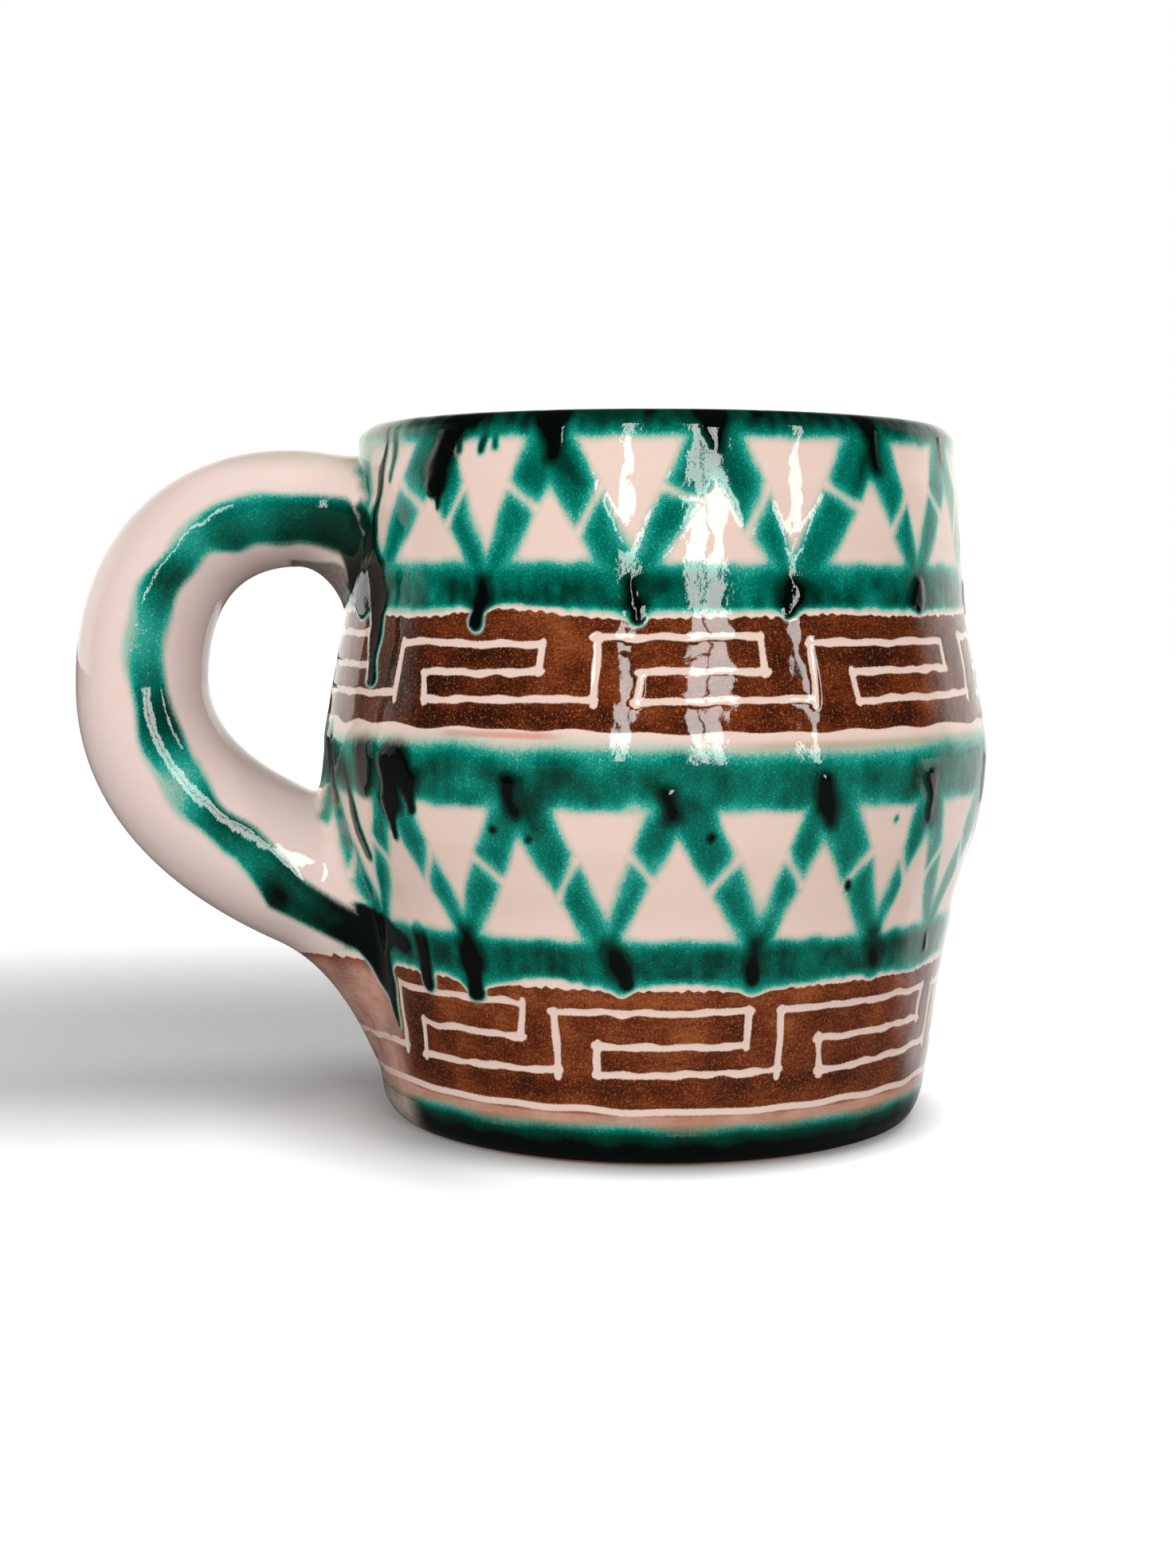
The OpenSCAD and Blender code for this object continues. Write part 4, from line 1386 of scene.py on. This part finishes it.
def glazed_paint(paint):
    """Green and brown under one clear glaze, over pale slip."""
    made = bpy.data.materials.get("painted_glaze")
    if made:
        return made
    recipe = Recipe("painted_glaze")
    grain = recipe.noise(ROUND, 3.2, 3) - 0.5
    cloud = recipe.noise(ROUND, 0.22, 3) - 0.5
    run = recipe.noise(DOWNWARDS, 2.0, 2) - 0.5
    brush = recipe.noise(SIDEWAYS, 3.0, 3, 0.7) - 0.5
    speck = recipe.noise(ROUND, 5.0, 0)
    dust = recipe.noise(ROUND, 7.0, 1) - 0.5

    green = recipe.layer("green") + grain * 0.4 + run * 0.2
    depth = recipe.layer("depth") + cloud * 0.18 + grain * 0.2 + run * 0.08
    thin_edge = 1 - green.rising(-0.3, 1.1)
    light_speck = speck.rising(0.62, 0.72) * (1 - depth.rising(0.5, 0.8))
    faint = (1 - depth.rising(0.0, 0.3)) * grain
    depth = depth - thin_edge * 0.14 - light_speck * 0.14 - faint * 0.5
    on_green = green.rising(-0.7, 0.6)

    brown = recipe.layer("brown") + grain * 0.22
    on_brown = brown.rising(-0.08, 0.12)
    scratch = recipe.layer("scratch") + grain * 0.26
    on_line = 1 - scratch.rising(paint.scratch_w / 2 - 0.09, paint.scratch_w / 2 + 0.09)
    on_brown = on_brown * (1 - on_line * 0.96)
    brush_load = 0.46 + recipe.layer("load") + brush * 0.6 + grain * 0.6 + cloud * 0.7 + dust * 0.9

    # Painted sheen near the edges: grey-olive over everything, and pink on the brown with thinner
    # green, which is partly painted sheen and partly thin paint
    worn = recipe.layer("worn")
    pink_sheen_and_thin = (0 - worn).rising(0.05, 1) * (0.72 + cloud * 1.4 + brush * 0.8)
    on_green = on_green * (1 - pink_sheen_and_thin * 0.8)
    brown_shade = brown_colour(recipe, paint, brush_load, pink_sheen_and_thin)
    ground = recipe.mix(on_brown, white_colour(recipe, paint, cloud), brown_shade)
    shade = recipe.mix(on_green, ground, green_colour(recipe, paint, depth))
    shade = recipe.mix(worn.rising(0, 1) * 0.45, shade, OLIVE_SHEEN)

    ripple = recipe.noise(ROUND, 0.16, 2)
    pits = recipe.noise(ROUND, 1.6, 2)
    roughness = 0.02 + on_green * 0.01 + on_brown * 0.02
    inputs = {"Base Color": shade, "Roughness": roughness, "IOR": 1.45}
    return recipe.finish(inputs, ripple + pits * (0.02 + on_green * 0.06))


def lining_glaze(paint):
    """Pale glaze inside, with green that ran over the lip."""
    recipe = Recipe("lining_glaze")
    grain = recipe.noise(ROUND, 3.2, 3) - 0.5
    cloud = recipe.noise(ROUND, 0.16, 3) - 0.5
    speck = recipe.noise(ROUND, 2.4, 0)
    green = recipe.layer("green") + grain * 0.4
    depth = recipe.layer("depth") + grain * 0.2 + cloud * 0.14
    on_green = green.rising(-0.42, 0.4)
    white = recipe.mix(cloud.rising(-0.2, 0.25), tuple(paint.lining), WARM_SLIP)
    white = recipe.mix(speck.rising(0.72, 0.78) * 0.5, white, IRON_SPECK)
    white = recipe.mix(recipe.layer("pooled") * 0.5, white, POOLED_CLEAR)
    shade = recipe.mix(on_green, white, green_colour(recipe, paint, depth))
    ripple = recipe.noise(ROUND, 0.14, 2)
    return recipe.finish({"Base Color": shade, "Roughness": 0.09, "IOR": 1.5}, ripple)


def fired_clay(paint):
    """Bare clay under the foot, wiped clean of glaze."""
    recipe = Recipe("fired_clay")
    cloud = recipe.noise(ROUND, 0.12, 3)
    grog = recipe.noise(ROUND, 1.8, 2)
    turning = recipe.noise(SIDEWAYS, 0.8, 2)
    shade = recipe.mix(cloud.rising(0.35, 0.65), tuple(paint.clay), PALE_CLAY)
    shade = recipe.mix(grog.rising(0.6, 0.7) * 0.5, shade, DARK_GROG)
    inputs = {"Base Color": shade, "Roughness": 0.85 - grog * 0.1}
    return recipe.finish(inputs, grog * 0.6 + turning * 0.4, 0.0003)


def plain_slip(paint):
    """Pale slip under the bands."""
    recipe = Recipe("plain_slip")
    cloud = recipe.noise(ROUND, 0.2, 3)
    shade = recipe.mix(cloud.rising(0.4, 0.6) * 0.5, tuple(paint.white), WARM_SLIP)
    return recipe.finish({"Base Color": shade, "Roughness": 0.4 - cloud * 0.1})


class MUG_OT_clay(bpy.types.Operator):
    """Gives the thrown wall, the handle's clay and the slip under the bands their finish"""

    bl_idname = "mug.clay"
    bl_label = "Clay"

    def execute(self, context):
        paint = context.scene.mug_paint
        clay = fired_clay(paint)
        slip = plain_slip(paint)
        finishes = {
            "vessel": clay, "handle": clay, "upper_joint_coil": clay, "lower_joint_coil": clay,
            "ground_slip": slip,
        }
        for node, finish in finishes.items():
            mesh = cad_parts[node].data
            mesh.materials.clear()
            mesh.materials.append(finish)
        return {"FINISHED"}


# Studio


# The photograph's view: turn round the mug and the camera's own turn, tilt and roll in degrees,
# its place in metres and its lens in mm
VIEW_TURN = -8
VIEW_TILT = (-1.66, 5.02, 0.2)
VIEW_PLACE = (-0.0418, -0.2975, 0.0696)
VIEW_LENS = 51.88
FRAME_SIDE = 36
# Tall windows beside and behind the camera: turn from the camera, low and high edge, width and
# share of the light
WINDOW_DISTANCE = 1.2
AIM = Vector((0, 0, 0.05))
WINDOWS = (
    ("window_left", -10.0, 0.09, 0.62, 0.075, 1.0),
    ("window_middle", 14.6, 0.04, 0.6, 0.13, 1.0),
    ("window_right", 22.2, 0.04, 0.6, 0.14, 1.0),
    ("window_far", 52.0, 0.1, 0.6, 0.08, 0.9),
)
# Soft lamps that no glaze mirrors: place and brightness
SOFT_LAMPS = (("roof_light", (0.6, 0.3, 1.0), 8.4), ("side_light", (-1.0, -0.7, 0.6), 6.5))
SOFT_SIDE = 0.6
LAMP_COLOUR = (1, 0.985, 0.96)
FLOOR_SIDE = 6.0
FLOOR_DROP = 0.02  # mm that the floor lies under the foot ring, so that the two don't flicker
# Painted shadow on the floor, where its glow falls away, and the floor's pale side, which glows
# for the gloss as a painted reflection, each edge from where it starts to where it ends: metres
# behind the mug's axis, to its right, and out from it
SHADE_FRONT = (-0.034, 0.024)
SHADE_BACK = (0.06, 0.2)
SHADE_LEFT = (-0.32, -0.05)
SHADE_RIGHT = (-0.02, 0.04)
CONTACT_OUT = (0.036, 0.062)
CONTACT_RIGHT = (-0.034, -0.012)
FOOT_OUT = (0.031, 0.044)
PALE_BACK = (-0.02, 0.01)
PALE_RIGHT = (0.03, 0.05)
WHITE = (1, 1, 1)
BLACK = (0, 0, 0)
ROOM_COLOUR = (1, 0.99, 0.98)
# The room as a gloss mirrors it: before the mug, and the pale wall behind it
ROOM_BEFORE = (0.03, 0.03, 0.0285)
ROOM_BEHIND = (1.33, 1.33, 1.26)


class MUG_OT_studio(bpy.types.Operator):
    """Sets up the camera, the floor, the windows and the room's even light"""

    bl_idname = "mug.studio"
    bl_label = "Studio"

    def execute(self, context):
        studio = context.scene.mug_studio
        self.add_camera(context.scene)
        self.add_floor(studio)
        self.add_room(context.scene, studio)
        self.add_windows(studio)
        context.scene.view_settings.view_transform = "Standard"
        return {"FINISHED"}

    def add_camera(self, scene):
        """From the front, a little above the middle, looking down."""
        turn = math.radians(VIEW_TURN)
        level_way = Vector((-math.sin(turn), math.cos(turn), 0))
        level_right = Vector((math.cos(turn), math.sin(turn), 0))
        up = Vector((0, 0, 1))
        yaw, pitch, roll = (math.radians(v) for v in VIEW_TILT)
        way = level_way * math.cos(yaw) + level_right * math.sin(yaw)
        right = level_right * math.cos(yaw) - level_way * math.sin(yaw)
        down_way = way * math.cos(pitch) - up * math.sin(pitch)
        tilted_up = up * math.cos(pitch) + way * math.sin(pitch)
        right, tilted_up = (
            right * math.cos(roll) + tilted_up * math.sin(roll),
            tilted_up * math.cos(roll) - right * math.sin(roll),
        )
        lens = bpy.data.cameras.new("camera")
        lens.sensor_width = lens.sensor_height = FRAME_SIDE
        lens.sensor_fit = "VERTICAL"
        lens.lens = VIEW_LENS
        axes = Matrix((right, tilted_up, -down_way)).transposed().to_4x4()
        scene.camera = put_in_scene("camera", lens)
        scene.camera.matrix_world = Matrix.Translation(VIEW_PLACE) @ axes

    def add_floor(self, studio):
        """A plain floor, which glows for the camera except where the photograph shows shade."""
        mesh = bpy.data.meshes.new("studio_floor")
        corners = [
            (x * FLOOR_SIDE, y * FLOOR_SIDE, -FLOOR_DROP * MM)
            for x, y in ((-1, -1), (1, -1), (1, 1), (-1, 1))
        ]
        mesh.from_pydata(corners, [], [(0, 1, 2, 3)])
        floor = put_in_scene("studio_floor", mesh)
        recipe = Recipe("studio_floor")
        seen, mirrored = recipe.rays()
        spot = {0: recipe.place("Object")}
        out = recipe.node("ShaderNodeVectorMath", {"operation": "LENGTH"}, spot, "Value")
        to_right, back = recipe.place("Object", "X", "Y")
        tone = recipe.mix(mirrored, FLOOR_GREY, MIRRORED_GREY)
        tone = recipe.mix(seen, tone, tuple(studio.floor))
        matt = recipe.node("ShaderNodeBsdfDiffuse", None, {"Color": tone})
        # Painted shadow: the glow falls away in a band behind and left of the mug and round its
        # foot, and the pale side glows only for the gloss, a painted reflection on the mug's right
        in_shade = back.rising(*SHADE_FRONT) * (1 - back.rising(*SHADE_BACK))
        fading_left = 0.1 + to_right.rising(*SHADE_LEFT) * 0.9
        in_shade = in_shade * (1 - to_right.rising(*SHADE_RIGHT)) * fading_left
        contact = (1 - out.rising(*CONTACT_OUT)) * (1 - to_right.rising(*CONTACT_RIGHT))
        bright = out.rising(*FOOT_OUT) * (1 - in_shade * 0.95) * (1 - contact * 0.6)
        pale_side = mirrored * back.rising(*PALE_BACK) * to_right.rising(*PALE_RIGHT)
        glow = recipe.mix(seen * (0.04 + bright * 0.86) + pale_side, BLACK, WHITE)
        glow = recipe.node("ShaderNodeEmission", None, {"Color": glow})
        both = recipe.node("ShaderNodeAddShader", None, {0: matt, 1: glow})
        recipe.node("ShaderNodeOutputMaterial", None, {"Surface": both})
        mesh.materials.append(recipe.material)

    def add_room(self, scene, studio):
        """Even light from all round, white for the camera, and a pale wall for the gloss."""
        scene.world = bpy.data.worlds.new("room")
        recipe = Recipe("room", scene.world)
        seen, mirrored = recipe.rays()
        white = recipe.node("ShaderNodeBackground", None, {"Color": WHITE})
        even = {"Color": ROOM_COLOUR, "Strength": studio.room_light}
        even = recipe.node("ShaderNodeBackground", None, even)
        depth_of_room, height = recipe.place("Generated", "Y", "Z")
        behind = depth_of_room.rising(0.1, 0.5) * (1 - height.rising(0.25, 0.7))
        wall_tone = recipe.mix(behind, ROOM_BEFORE, ROOM_BEHIND)
        wall_light = recipe.node("ShaderNodeBackground", None, {"Color": wall_tone})
        lit = recipe.node("ShaderNodeMixShader", None, {0: mirrored, 1: even, 2: wall_light})
        both = recipe.node("ShaderNodeMixShader", None, {0: seen, 1: lit, 2: white})
        recipe.node("ShaderNodeOutputWorld", None, {"Surface": both})

    def add_windows(self, studio):
        for name, turn, low, high, width, share in WINDOWS:
            way = math.radians(VIEW_TURN + turn)
            across, deep = WINDOW_DISTANCE * math.sin(way), -WINDOW_DISTANCE * math.cos(way)
            place = (across, deep, (low + high) / 2)
            self.add_lamp(name, place, (width, high - low), studio.window_light * share)
        for name, place, brightness in SOFT_LAMPS:
            lamp = self.add_lamp(name, place, (SOFT_SIDE, SOFT_SIDE), brightness)
            lamp.visible_glossy = False

    @staticmethod
    def add_lamp(name, place, size, brightness):
        """A flat lamp that faces the mug, with a brightness as its surface shows it."""
        lamp = bpy.data.lights.new(name, "AREA")
        lamp.shape = "RECTANGLE"
        lamp.size, lamp.size_y = size
        lamp.energy = brightness * math.pi * size[0] * size[1]
        lamp.color = LAMP_COLOUR
        thing = put_in_scene(name, lamp)
        facing = (AIM - Vector(place)).to_track_quat("-Z", "Y")
        thing.matrix_world = Matrix.Translation(place) @ facing.to_matrix().to_4x4()
        return thing


class MUG_PT_panel(bpy.types.Panel):
    """Lists the mug's steps, sizes and colours"""

    bl_label = "Glazed mug"
    bl_space_type = "VIEW_3D"
    bl_region_type = "UI"
    bl_category = "Mug"

    def draw(self, context):
        for step in STEPS:
            self.layout.operator(step.bl_idname)
        for group in (context.scene.mug_shape, context.scene.mug_paint, context.scene.mug_studio):
            box = self.layout.box()
            for title in group.__annotations__:
                box.prop(group, title)


GROUPS = {"mug_shape": MugShape, "mug_paint": MugPaint, "mug_studio": MugStudio}
STEPS = (MUG_OT_wall, MUG_OT_handle, MUG_OT_lining, MUG_OT_clay, MUG_OT_studio)


def register():
    for group in (*GROUPS.values(), *STEPS, MUG_PT_panel):
        bpy.utils.register_class(group)
    for title, group in GROUPS.items():
        setattr(bpy.types.Scene, title, bpy.props.PointerProperty(type=group))


def unregister():
    for title in GROUPS:
        delattr(bpy.types.Scene, title)
    for group in (MUG_PT_panel, *reversed(STEPS), *GROUPS.values()):
        bpy.utils.unregister_class(group)


def main():
    register()
    for step in STEPS:
        group, name = step.bl_idname.split(".")
        getattr(getattr(bpy.ops, group), name)()


if __name__ == "__main__":
    main()
